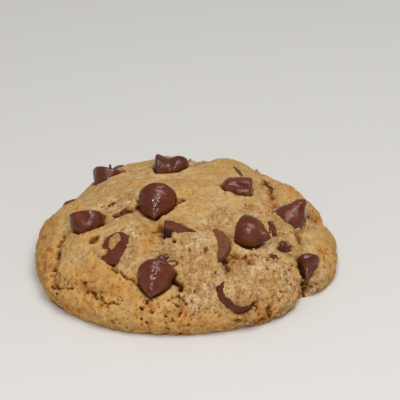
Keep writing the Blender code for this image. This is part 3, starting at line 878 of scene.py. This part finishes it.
def lap_over(points, normal, height, chips):
    """Dough raised over the parts of chips that it laps over: (height, share that is raised)."""
    right, up, _ = view_axes()
    lift = np.full(len(points), -9.0)
    showing = np.full(len(points), 9.0)
    for node, outline in SHOWING.items():
        found, levels, places = chip_levels(points, normal, *piece_tree(chips[node]))
        flat = np.stack([places @ np.array(right), places @ np.array(up)], axis=1)
        flat += 0.16 * np.stack([noise(places, 0.9, 801), noise(places, 0.9, 802)], axis=1)
        depth = -inside_distance(flat, outline)
        edge, middle = LAP_THICKNESS
        thickness = edge + (middle - edge) * np.sqrt(np.clip(depth / LAP_WIDTH, 0.0, 1.0))
        if node in STUCK:
            stuck = inside_distance(flat, STUCK[node])
            thickness = np.where(stuck > 0.0, STUCK_THICKNESS * np.sqrt(np.clip(stuck / 0.8, 0.05, 1.0)), thickness)
            depth = np.maximum(depth, stuck)
        covered = depth > 0.0
        lift[found[covered]] = (levels + thickness)[covered]
        showing[found[~covered]] = np.minimum(showing[found[~covered]], (levels - 0.35)[~covered])
    raised = lift.copy()
    for _ in range(6):
        raised = np.maximum(raised, spread(raised, GRID_CELLS) - 0.30)
    raised = np.maximum(raised, lift)
    lapped = smooth_step(raised - height, -0.2, 0.3)
    form = np.where(raised > height, raised + 0.35 * (height - blurred(height, GRID_CELLS, 6)), height)
    return np.where(showing < 9.0, np.minimum(form, showing), form), lapped * (showing > 8.9)


# ------------------------------------------------------------------ dough piece

# Where the crust has broken open to paler crumb: (x, y, radius)
CRUMB_ZONES = ((4.0, -31.0, 8.5), (3.0, -23.0, 8.5), (14.5, -30.0, 8.0), (22.5, -26.0, 8.0), (20.0, -21.0, 6.0),
               (27.5, -14.5, 5.0), (10.6, -10.5, 4.6), (17.7, -6.8, 3.6), (-18.5, -2.5, 5.0), (-6.5, -24.0, 4.0),
               (-16.0, -16.5, 3.5), (14.8, -33.8, 5.0), (34.0, -21.0, 3.0), (4.0, 32.0, 7.0), (-24.0, 29.0, 6.0),
               (24.0, 27.0, 6.0))
# Pits deeper than DEEP get a near-black painted shadow colour.
DEEP = 2.0                   # pits deeper than this look nearly black
# Single pits: (x, y, z, radius, depth). Each darkens the crust inside it as painted shade; the broad shallow ones
# paint shade into hollows beside the chips.
PITS = ((-5.2, -17.3, 16.9, 1.5, 2.2), (-4.0, -19.5, 17.6, 1.0, 2.0), (10.9, -24.6, 13.8, 1.1, 2.5),
        (-3.3, -32.2, 12.2, 0.7, 2.6), (-2.2, -32.9, 11.4, 0.45, 2.4), (-4.1, -30.5, 12.3, 0.8, 2.4),
        (-3.8, -28.4, 15.8, 0.7, 2.1), (-3.4, -27.4, 15.9, 0.5, 2.1), (-4.3, -26.3, 16.1, 0.45, 2.1),
        (-35.8, -14.1, 9.7, 1.0, 1.5), (-37.0, -18.4, 7.6, 1.0, 1.2), (-25.1, -15.7, 16.4, 1.0, 1.3),
        (-26.5, -16.8, 15.7, 0.6, 1.0), (-2.2, -2.3, 19.6, 0.9, 1.1), (-24.4, -7.9, 16.3, 0.6, 1.4),
        (-23.0, -12.8, 17.5, 0.5, 1.2), (-23.6, -10.0, 17.0, 0.5, 1.3), (0.3, -23.3, 17.5, 0.45, 1.0),
        (5.4, -23.9, 17.6, 0.6, 1.0), (-24.0, -9.0, 16.6, 2.0, 0.5), (-25.6, -16.0, 16.0, 1.8, 0.5),
        (-1.2, -2.6, 20.0, 1.4, 0.8),
        (-7.7, -13.2, 17.4, 1.5, 0.7), (-7.0, -15.4, 16.8, 1.0, 0.9),
        (-22.4, -1.4, 17.7, 0.55, 1.4), (-24.6, -1.1, 17.4, 0.5, 1.1), (-21.2, -0.6, 18.0, 0.45, 1.2),
        (-11.0, -37.1, 9.4, 0.7, 1.3), (-10.0, -35.9, 9.9, 0.6, 1.2), (-12.1, -38.1, 7.9, 0.6, 1.2),
        (-5.2, -37.0, 10.0, 0.5, 1.0), (-3.0, -38.2, 8.8, 0.6, 1.1), (-1.4, -35.9, 10.5, 0.5, 1.2),
        (-0.4, -37.4, 9.3, 0.5, 1.0), (-6.0, -39.6, 6.9, 0.5, 0.9), (-4.1, -40.2, 5.7, 0.4, 0.8),
        (-36.7, -23.1, 7.1, 0.5, 0.5), (0.5, -24.1, 17.9, 0.55, 0.8), (2.6, -22.6, 18.3, 0.45, 0.7),
        (7.1, -22.8, 18.0, 0.4, 0.5), (5.1, -24.7, 17.5, 0.8, 0.5), (-5.7, -26.7, 16.9, 0.8, 1.4),
        (-5.7, -28.2, 16.3, 0.9, 1.5), (-4.1, -27.6, 16.6, 0.7, 1.2), (-25.9, -31.1, 9.6, 0.35, 0.6),
        (-17.3, -35.4, 8.3, 0.45, 0.9), (-2.2, -39.6, 7.6, 0.5, 0.8), (-1.2, -37.4, 10.2, 0.6, 1.0),
        (3.4, -39.1, 7.8, 0.4, 0.8), (1.8, -35.2, 12.0, 0.5, 0.7), (24.4, -25.5, 11.8, 0.5, 0.6),
        (18.0, -5.5, 18.5, 0.45, 0.8), (16.9, -4.3, 18.7, 0.35, 0.5), (27.6, -24.0, 10.5, 0.6, 0.7), (28.9, -26.7, 7.5, 0.4, 0.6), (20.0, -22.0, 15.0, 0.4, 0.5))
# Places stained by melted chocolate or baked darker between crumbs: (x, y, z, radius, amount)
STAINS = ((17.8, -4.6, 18.6, 1.6, 0.5), (16.3, -6.3, 18.7, 1.2, 0.5), (9.9, -6.3, 19.7, 1.6, 0.6),
          (8.1, -9.0, 19.7, 1.5, 0.55), (2.9, -34.4, 11.7, 2.2, 0.8), (0.7, -34.8, 11.3, 1.6, 0.6),
          (5.4, -27.3, 15.6, 1.6, 0.45), (7.1, -22.5, 17.9, 1.0, 0.6), (4.9, -23.8, 17.5, 1.3, 0.7),
          (-0.3, -23.2, 17.5, 0.9, 0.7), (3.5, -29.0, 14.8, 2.0, 0.5), (6.9, -33.3, 11.9, 1.6, 0.9),
          (7.8, -30.7, 13.4, 1.5, 0.7), (14.4, -24.1, 14.7, 1.5, 0.6), (17.2, -23.6, 13.1, 1.7, 0.6),
          (-1.3, -2.2, 20.0, 1.3, 0.5), (-7.4, -24.4, 16.5, 2.0, 0.7), (31.9, -7.1, 12.1, 1.3, 0.5),
          (-35.8, -14.1, 9.7, 1.5, 0.5), (-22.2, -5.4, 18.0, 1.4, 0.5), (-16.5, -7.0, 17.5, 2.4, 0.4))
# Patches of crust browned or lightened: (x, y, z, radius, amount). Most are baked browning; those in the hollow left
# of the wedge chip are painted shade, and the negative one on the low right lobe is painted light.
BROWNING_AND_SHADING_PATCHES = ((-40.3, -1.1, 9.3, 4.5, 0.30), (-39.7, -15.4, 7.9, 4.0, 0.25), (37.5, -12.7, 10.0, 1.4, 0.75),
                 (-20.2, -33.0, 10.5, 3.0, 0.25), (-25.5, -28.4, 11.7, 2.4, 0.22), (-10.1, -20.7, 18.5, 2.2, 0.45),
                 (39.8, 1.5, 8.9, 3.0, 0.28), (11.4, 23.0, 16.5, 4.0, 0.20), (31.0, -25.8, 5.2, 4.0, 0.30),
                 (14.1, -38.4, 4.3, 4.0, 0.20), (31.1, 3.6, 14.4, 3.5, 0.20), (-13.0, -14.0, 19.5, 3.0, 0.22),
                 (37.0, -18.0, 6.0, 8.0, -0.35), (-0.8, 0.0, 20.3, 1.0, 0.3), (28.6, 10.7, 15.2, 5.0, 0.35),
                 (-10.0, -38.0, 8.0, 4.0, 0.20), (-22.5, -33.6, 7.7, 1.4, 0.35), (-36.4, -17.5, 8.0, 1.6, 0.3), (-7.4, -13.4, 17.2, 1.8, 0.7),
                 (-10.4, -15.4, 17.8, 2.4, 0.45), (-26.0, -21.0, 14.0, 9.0, 0.10))


def smooth_step(value, low, high):
    """0 below low, 1 above high and smooth between."""
    share = np.clip((value - low) / (high - low), 0.0, 1.0)
    return share * share * (3.0 - 2.0 * share)


def zone_share(points, zones, ragged):
    """Share from 0 to 1 of being inside any of some round zones, with a ragged edge."""
    inside = np.full(len(points), -9.0)
    for x, y, radius in zones:
        inside = np.maximum(inside, 1.0 - np.hypot(points[:, 0] - x, points[:, 1] - y) / radius)
    return smooth_step(inside + ragged, -0.06, 0.10)


def chip_gaps(points, chips):
    """Distance in millimetres from each point to the nearest chip, negative inside it."""
    nearest = np.full(len(points), 99.0)
    for chip in chips.values():
        tree, low, high = piece_tree(chip)
        for index in np.nonzero(np.all((points > low - 3.0) & (points < high + 3.0), axis=1))[0]:
            spot = Vector(points[index])
            place, normal, _, gap = tree.find_nearest(spot)
            if (spot - place).dot(normal) < 0.0:
                gap = -gap
            nearest[index] = min(nearest[index], gap)
    return nearest


def blurred(values, cells, times):
    """A value at each grid point, evened out with its neighbours."""
    grid = values.reshape(cells + 1, cells + 1)
    for _ in range(times):
        wide = np.pad(grid, 1, mode="edge")
        grid = (wide[1:-1, 1:-1] * 2.0 + wide[:-2, 1:-1] + wide[2:, 1:-1] + wide[1:-1, :-2] + wide[1:-1, 2:]) / 6.0
    return grid.ravel()


def spread(values, cells):
    """The highest value among each grid point's neighbours."""
    grid = np.pad(values.reshape(cells + 1, cells + 1), 1, mode="edge")
    across = np.maximum(grid[1:-1, :-2], grid[1:-1, 2:])
    return np.maximum(np.maximum(grid[:-2, 1:-1], grid[2:, 1:-1]), across).ravel()


def settle(place, points, ahead):
    """The dough point that the camera sees in the direction of a place."""
    offset = points - place
    along = offset @ ahead
    aside = np.linalg.norm(offset - along[:, None] * ahead, axis=1)
    return points[np.argmin(aside + 0.03 * along + 9.0 * (np.abs(along) > 6.0))]


def settled_path(path, points, ahead):
    """A path moved onto the lobed dough as the camera sees it. Points of 2 numbers lie on the smooth dome."""
    moved = []
    for spot in path:
        if len(spot) == 2:
            x, y = spot
            nearest = points[np.argmin(np.hypot(points[:, 0] - x, points[:, 1] - y) - 0.02 * points[:, 2])]
            spot = (x, y, nearest[2] - relief(np.array([x]), np.array([y]))[0])
        moved.append(tuple(settle(np.array(spot), points, ahead)[:2]))
    return moved


def split_lines(bent, points, ahead):
    """Depth of the sharp splits at each point, their darkness as painted shade, and the share of being near one."""
    depth = np.zeros(len(bent))
    dark = np.zeros(len(bent))
    near = np.zeros(len(bent))
    patchy = np.clip(0.85 + 1.3 * noise(points, 2.6, 77), 0.25, 1.25)
    for half_width, deep, darkness, path in SPLITS.values():
        if len(path[0]) == 3 or path[0][1] < FRONT_LIMIT:
            path = settled_path(path, points, ahead)
        away = path_distance(bent[:, 0], bent[:, 1], path)
        across = np.exp(-(away / half_width) ** 2)
        depth = np.maximum(depth, deep * across * patchy)
        dark = np.maximum(dark, darkness * np.minimum(across * 1.4, 1.0) * patchy)
        near = np.maximum(near, np.exp(-(away / 1.8) ** 2))
    return depth, dark, near


def grain(points):
    """Fine relief of the crust, from lobes some millimetres across down to its sandy grain."""
    form = 0.42 * layered(points, 6.5, 11, 2) + 0.22 * layered(points, 2.6, 23, 3)
    return form + 0.10 * noise(points, 0.8, 31) - 0.22 * np.abs(layered(points, 3.4, 27, 2))


def crumble(points):
    """Relief of the open crumb: clumps of a few sizes with gaps between them."""
    form = 0.40 * layered(points, 3.6, 41, 3)
    for size, height, seed in ((3.4, 0.62, 200), (1.5, 0.30, 300)):
        edge, second = cell_distances(points + 0.25 * size * noise(points, size, seed + 5)[:, None], size, seed)
        form += height * (np.sqrt(np.clip((second - edge) * 1.7, 0.0, 1.0)) - 0.75)
    return form + 0.08 * noise(points, 0.7, 43) - 0.22


def single_pits(bent, points, ahead):
    """Depth of the named pits at each point, and the share of painted shade in them, raised past 1 in pits deeper
    than DEEP for the near-black painted shadow.
    """
    depth = np.zeros(len(bent))
    share = np.zeros(len(bent))
    for x, y, z, radius, deep in PITS:
        away = np.linalg.norm(bent - settle((x, y, z), points, ahead), axis=1) / radius
        hollow = np.clip(1.15 - away ** 2, 0.0, 1.0)
        depth = np.maximum(depth, deep * hollow)
        share = np.maximum(share, hollow * (1.6 if deep >= DEEP else 1.0))
    return depth, share


def fine_dough(points, stage, gap):
    """Fine form of the crust: (height along the normal, crumb, browning with painted shading, recess browning with
    painted shade, stain) at each point.
    """
    crumb = zone_share(points, CRUMB_ZONES, 0.22 * layered(points, 4.0, 3, 3))
    skirt = smooth_step(stage, 0.86, 1.0)
    warp = np.stack([layered(points, 2.2, 60 + axis, 3) for axis in range(3)], axis=1)
    jagged = np.stack([layered(points, 1.2, 70 + axis, 2) for axis in range(3)], axis=1)
    bent = points + 0.75 * warp + 0.25 * jagged
    ahead = np.array(view_axes()[2])
    split, split_dark, near = split_lines(bent, points, ahead)
    pit, pit_share = single_pits(points + 0.35 * warp + 0.60 * jagged, points, ahead)
    porous = points + 0.30 * jagged
    small = pores(porous, 1.1, 500, 0.10 + 0.42 * skirt + 0.20 * crumb + 0.45 * near)
    large = pores(porous, 2.0, 600, 0.04 + 0.16 * skirt + 0.12 * crumb + 0.40 * near)
    outside = np.maximum(gap, 0.0)
    trench = np.exp(-(outside / 0.42) ** 2)
    lip = np.exp(-((outside - 1.3) / 0.7) ** 2) * (gap > 0.0)
    height = grain(points) * (1.0 - crumb) + crumble(points) * crumb
    height += 0.22 * lip - 1.1 * trench
    height -= np.maximum(np.maximum(0.40 * np.sqrt(small), 0.65 * np.sqrt(large)), np.maximum(split, pit))
    # Darkness of pores, splits and pits, partly brown crumb and partly painted shade, and a painted contact shadow
    # in the trench round each chip.
    recess_brown_and_shade = np.maximum.reduce([0.65 * small, 0.75 * large, split_dark, pit_share, 0.9 * trench])
    browning_and_shading = 0.27 + 0.14 * layered(points, 9.0, 91, 2) + 0.30 * smooth_step(stage, 0.70, 1.05)
    browning_and_shading += 0.25 * smooth_step(stage, 1.3, 2.0)
    for x, y, z, radius, amount in BROWNING_AND_SHADING_PATCHES:
        away = np.linalg.norm(points + 1.2 * warp - settle((x, y, z), points, ahead), axis=1) / radius
        browning_and_shading += amount * np.exp(-away ** 2)
    # Hollows that lie below their surroundings are darkened: painted shade, partly the browner crumb of hollows.
    sunk = blurred(height, GRID_CELLS, 16) - height
    recess_brown_and_shade = recess_brown_and_shade + 0.75 * smooth_step(sunk, 0.06, 0.50) * (recess_brown_and_shade < 1.0)
    stain = np.zeros(len(points))
    for x, y, z, radius, amount in STAINS:
        away = np.linalg.norm(points + 1.0 * warp + 0.5 * jagged - settle((x, y, z), points, ahead), axis=1) / radius
        stain = np.maximum(stain, amount * np.clip(1.3 - away ** 2, 0.0, 1.0))
    return height, crumb, browning_and_shading, recess_brown_and_shade, stain


def make_dough(chips, material):
    """The dough piece: a fine sheet over the top and side, and a coarser one under it, welded at the base's rim."""
    bearing, distance = square_to_disc(GRID_CELLS)
    stage = profile_stage(distance)
    broad = dough_surface(bearing, stage)
    normal = grid_normals(broad, GRID_CELLS)
    gap = chip_gaps(broad, chips)
    height, crumb, browning_and_shading, recess_brown_and_shade, stain = fine_dough(broad, stage, gap)
    height, lapped = lap_over(broad, normal, height - 0.10, chips)
    crumb = np.maximum(crumb, 0.9 * lapped)
    recess_brown_and_shade *= 1.0 - 0.9 * lapped
    height *= 1.0 - smooth_step(stage, 1.7, 2.0)
    top = broad + normal * height[:, None]
    low, high = (np.array(corner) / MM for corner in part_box("dough"))
    top = np.clip(top, low, high)

    under_bearing, under_distance = square_to_disc(BASE_CELLS)
    inset = 0.985
    rim = dough_surface(under_bearing, np.full(len(under_bearing), 2.0))
    under = rim * (under_distance * inset)[:, None]
    hollow = pores(under, 3.0, 700, np.full(len(under), 0.45))
    under[:, 2] = 0.45 * np.sqrt(hollow) + 0.12 + 0.10 * layered(under, 4.0, 81, 3)
    under[:, 2] = np.maximum(under[:, 2], 0.0)

    row = GRID_CELLS + 1
    faces = [(j * row + i, j * row + i + 1, (j + 1) * row + i + 1, (j + 1) * row + i)
             for j in range(GRID_CELLS) for i in range(GRID_CELLS)]
    start = len(top)
    under_row = BASE_CELLS + 1
    faces += [(start + j * under_row + i, start + (j + 1) * under_row + i, start + (j + 1) * under_row + i + 1,
               start + j * under_row + i + 1) for j in range(BASE_CELLS) for i in range(BASE_CELLS)]
    outer = grid_border(GRID_CELLS)
    inner = [start + index for index in grid_border(BASE_CELLS)]
    for step in range(len(inner)):
        a, b = inner[step], inner[(step + 1) % len(inner)]
        c, d, e = (outer[(2 * step + k) % len(outer)] for k in range(3))
        faces += [(a, d, c), (a, b, d), (b, e, d)]
    mesh = make_mesh("dough_crust", np.concatenate([top, under]), faces)
    set_value(mesh, "crumb", np.concatenate([crumb, np.zeros(len(under))]))
    set_value(mesh, "browning_and_shading", np.concatenate([browning_and_shading, 0.85 + 0.2 * layered(under, 8.0, 95, 2)]))
    # The underside's hollows are darkened as painted shade too.
    set_value(mesh, "recess_brown_and_shade", np.concatenate([recess_brown_and_shade, 0.5 * hollow]))
    set_value(mesh, "stain", np.concatenate([stain, np.zeros(len(under))]))
    piece = add_piece("dough_crust", mesh, material)
    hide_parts("dough")
    return piece


def grid_border(cells):
    """Indices of a square grid's border, once round from its first corner."""
    row = cells + 1
    bottom = [i for i in range(cells)]
    right = [j * row + cells for j in range(cells)]
    top = [cells * row + cells - i for i in range(cells)]
    left = [(cells - j) * row for j in range(cells)]
    return bottom + right + top + left


# ------------------------------------------------------------------ small pieces

# Chocolate that just shows through the crust: (start, end, half width, half thickness, bloom)
SLIVERS = {
    "behind the back right chip": ((13.7, 20.2, 17.1), (16.5, 15.1, 17.0), 0.55, 0.40, 0.5),
    "top of the right valley": ((23.4, 18.6, 14.0), (24.8, 9.6, 15.0), 0.34, 0.40, 0.3),
    "left rim": ((-36.2, 10.2, 10.4), (-32.2, 9.9, 12.6), 0.60, 0.60, 0.6),
    "left of the crumbly lump": ((23.6, -9.8, 17.4), (23.8, -15.2, 15.7), 1.15, 0.80, 0.1),
    "smear at the right": ((22.4, -22.3, 14.1), (25.3, -20.9, 12.6), 0.90, 0.35, 0.3),
    "spot at the right": ((27.3, -23.3, 9.8), (28.2, -22.7, 9.4), 0.45, 0.25, 0.3),
    "spot below the smear": ((21.3, -26.9, 12.7), (22.1, -26.7, 12.5), 0.40, 0.25, 0.3),
    "smear behind the front chip": ((-8.4, -26.3, 15.9), (-4.8, -25.2, 16.3), 0.95, 0.50, 0.0),
    "smear beside the front chip": ((-6.9, -26.8, 15.4), (-5.3, -26.2, 15.3), 0.80, 0.55, 0.0),
    "tail of the chip in the crease": ((33.0, -18.4, 7.6), (33.2, -21.8, 3.6), 0.80, 0.70, 0.0),
    "tail of the wedge": ((-2.6, -15.0, 18.3), (2.4, -17.6, 19.2), 0.45, 0.50, 0.2),
    "spike on the back left chip": ((-22.5, 18.2, 17.4), (-22.4, 18.3, 19.6), 0.35, 0.35, 0.0),
    "blob beside the back left chip": ((-20.6, 17.6, 17.0), (-17.6, 17.8, 17.3), 0.60, 0.60, 0.0),
}
FREE_SLIVERS = ("tail of the wedge", "spike on the back left chip", "blob beside the back left chip")
SLIVER_STEPS = 9
CRUMB_COUNT = 260
CRUMB_RADIUS = (0.16, 0.46)


def ball(level):
    """Points and faces of a round ball of radius 1."""
    form = bmesh.new()
    bmesh.ops.create_icosphere(form, subdivisions=level, radius=1.0)
    points = np.array([vertex.co[:] for vertex in form.verts])
    faces = [tuple(vertex.index for vertex in face.verts) for face in form.faces]
    form.free()
    return points, faces


def joined(parts):
    """One list of points and one of faces from (points, faces) parts."""
    points, faces, first = [], [], 0
    for part_points, part_faces in parts:
        points.append(part_points)
        faces += [tuple(first + corner for corner in face) for face in part_faces]
        first += len(part_points)
    return np.concatenate(points), faces


def sliver_form(tree, sliver, free, seed):
    """Points of one sliver: a rounded strip that follows the crust, or runs straight where it is free."""
    start, end, half_width, half_thickness = sliver
    along = (np.array(end) - start) / np.linalg.norm(np.array(end) - start)
    steps = np.linspace(0.0, 1.0, SLIVER_STEPS)
    spots, normals = [], []
    for share in steps:
        spot = np.array(start) * (1.0 - share) + np.array(end) * share
        place, normal, _, _ = tree.find_nearest(Vector(spot))
        spots.append(spot if free else np.array(place))
        normals.append(np.array(normal))
    shape, _ = ball(4)
    shape = shape * (1.0 + 0.30 * layered(shape * 3.0 + seed * 7.0, 2.2, 900 + seed, 2))[:, None]
    share = (shape[:, 0] + 1.0) / 2.0
    middle = np.stack([np.interp(share, steps, np.array(spots)[:, axis]) for axis in range(3)], axis=1)
    out = np.mean(normals, axis=0)
    across = np.cross(out, along)
    across /= np.linalg.norm(across)
    out = np.cross(along, across)
    return middle + shape[:, 1:2] * half_width * across + shape[:, 2:3] * half_thickness * out


def make_slivers(tree, material):
    """All slivers and smears of chocolate, half sunk in the crust."""
    faces = ball(4)[1]
    parts, bloom = [], []
    for order, (name, (*sliver, share)) in enumerate(SLIVERS.items()):
        points = sliver_form(tree, sliver, name in FREE_SLIVERS, order)
        parts.append((points, faces))
        bloom.append(np.full(len(points), share))
    points, faces = joined(parts)
    mesh = make_mesh("chocolate_slivers", points, faces)
    set_value(mesh, "bloom", np.concatenate(bloom))
    set_value(mesh, "tone", np.full(len(points), 0.85))
    add_piece("chocolate_slivers", mesh, material)


def make_crumbs(dough, material):
    """Loose crumbs that lie on the open crumb."""
    count = len(dough.data.vertices)
    crumb = np.zeros(count)
    dough.data.attributes["crumb"].data.foreach_get("value", crumb)
    places = np.array([vertex.co for vertex in dough.data.vertices]) / MM
    normals = vertex_normals(dough.data)
    rng = np.random.default_rng(77)
    open_crumb = np.nonzero((crumb > 0.5) & (normals[:, 2] > 0.2))[0]
    shape, faces = ball(2)
    parts = []
    for order, index in enumerate(rng.choice(open_crumb, CRUMB_COUNT, replace=False)):
        low, high = CRUMB_RADIUS
        radius = low + (high - low) * rng.random() ** 2
        stretch = rng.uniform(0.7, 1.25, 3)
        form = shape * stretch * (1.0 + 0.5 * noise(shape * 2.0 + order * 5.0, 1.4, 950))[:, None]
        parts.append((places[index] + normals[index] * radius * 0.25 + form * radius, faces))
    points, faces = joined(parts)
    mesh = make_mesh("loose_crumbs", points, faces)
    set_value(mesh, "crumb", np.ones(len(points)))
    set_value(mesh, "browning_and_shading", np.full(len(points), 0.2))
    set_value(mesh, "recess_brown_and_shade", np.zeros(len(points)))
    set_value(mesh, "stain", np.zeros(len(points)))
    add_piece("loose_crumbs", mesh, material)


# ------------------------------------------------------------------ stage, lights and camera

CAMERA_PLACE = (0.0, -0.38677, 0.25690)      # in metres
CAMERA_LENS = 144.0


def add_floor():
    """Pale satin floor under the cookie."""
    bpy.ops.mesh.primitive_plane_add(size=4.0)
    floor = bpy.context.object
    floor.name = "floor"
    material, nodes, links, shader = new_material("floor")
    where = nodes.new("ShaderNodeTexCoord").outputs["Object"]
    cloudy = noise_node(nodes, links, where, 60.0, 2.0)
    links.new(range_node(nodes, links, cloudy, 0.3, 0.7, 0.42, 0.5), shader.inputs["Roughness"])
    shader.inputs["Base Color"].default_value = (*FLOOR_COLOUR, 1.0)
    floor.data.materials.append(material)


def add_light(name, place, target, size, energy, colour):
    """A soft rectangular light that faces a target."""
    lamp = bpy.data.lights.new(name, "AREA")
    lamp.shape = "RECTANGLE"
    lamp.size, lamp.size_y = size
    lamp.energy = energy
    lamp.color = colour
    holder = bpy.data.objects.new(name, lamp)
    holder.location = place
    holder.rotation_euler = (Vector(target) - Vector(place)).to_track_quat("-Z", "Y").to_euler()
    bpy.context.scene.collection.objects.link(holder)


def add_camera():
    """Camera at the front, looking down at the cookie."""
    right, up, ahead = view_axes()
    lens = bpy.data.cameras.new("camera")
    lens.lens = CAMERA_LENS
    lens.sensor_width = 36.0
    lens.clip_start, lens.clip_end = 0.01, 10.0
    holder = bpy.data.objects.new("camera", lens)
    holder.matrix_world = Matrix.Translation(CAMERA_PLACE) @ Matrix((right, up, -ahead)).transposed().to_4x4()
    bpy.context.scene.collection.objects.link(holder)
    bpy.context.scene.camera = holder


def set_world():
    """Even pale surroundings."""
    world = bpy.data.worlds.new("surroundings")
    bpy.context.scene.world = world
    world.use_nodes = True
    background = world.node_tree.nodes["Background"]
    background.inputs["Color"].default_value = (1.0, 0.985, 0.96, 1.0)
    background.inputs["Strength"].default_value = 0.35


# ------------------------------------------------------------------ the whole

dough_finish = dough_material()
chocolate_finish = chocolate_material("dark_chocolate", (0.10, 0.20), 0.42)
cut_finish = chocolate_material("cut_chocolate", (0.5, 0.7), 0.08)
chip_nodes = [name for name in sorted(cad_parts) if name.startswith("chip_")]
chip_pieces = {}
for order, node in enumerate(chip_nodes):
    finish = cut_finish if node in CUT_CHIPS else chocolate_finish
    chip_pieces[node] = make_chip(node, finish, 1000 + 37 * order)
dough_piece = make_dough(chip_pieces, dough_finish)
make_slivers(piece_tree(dough_piece)[0], chocolate_finish)
make_crumbs(dough_piece, dough_finish)

add_floor()
add_light("overhead", (0.15, -0.15, 0.66), (0.0, 0.0, 0.0), (0.42, 0.42), 2.86, (1.0, 0.985, 0.96))
add_light("window", (-0.05, -0.40, 0.40), (0.0, 0.0, 0.01), (0.035, 0.035), 0.92, (1.0, 0.99, 0.98))
set_world()
add_camera()
bpy.context.scene.view_settings.view_transform = "Standard"
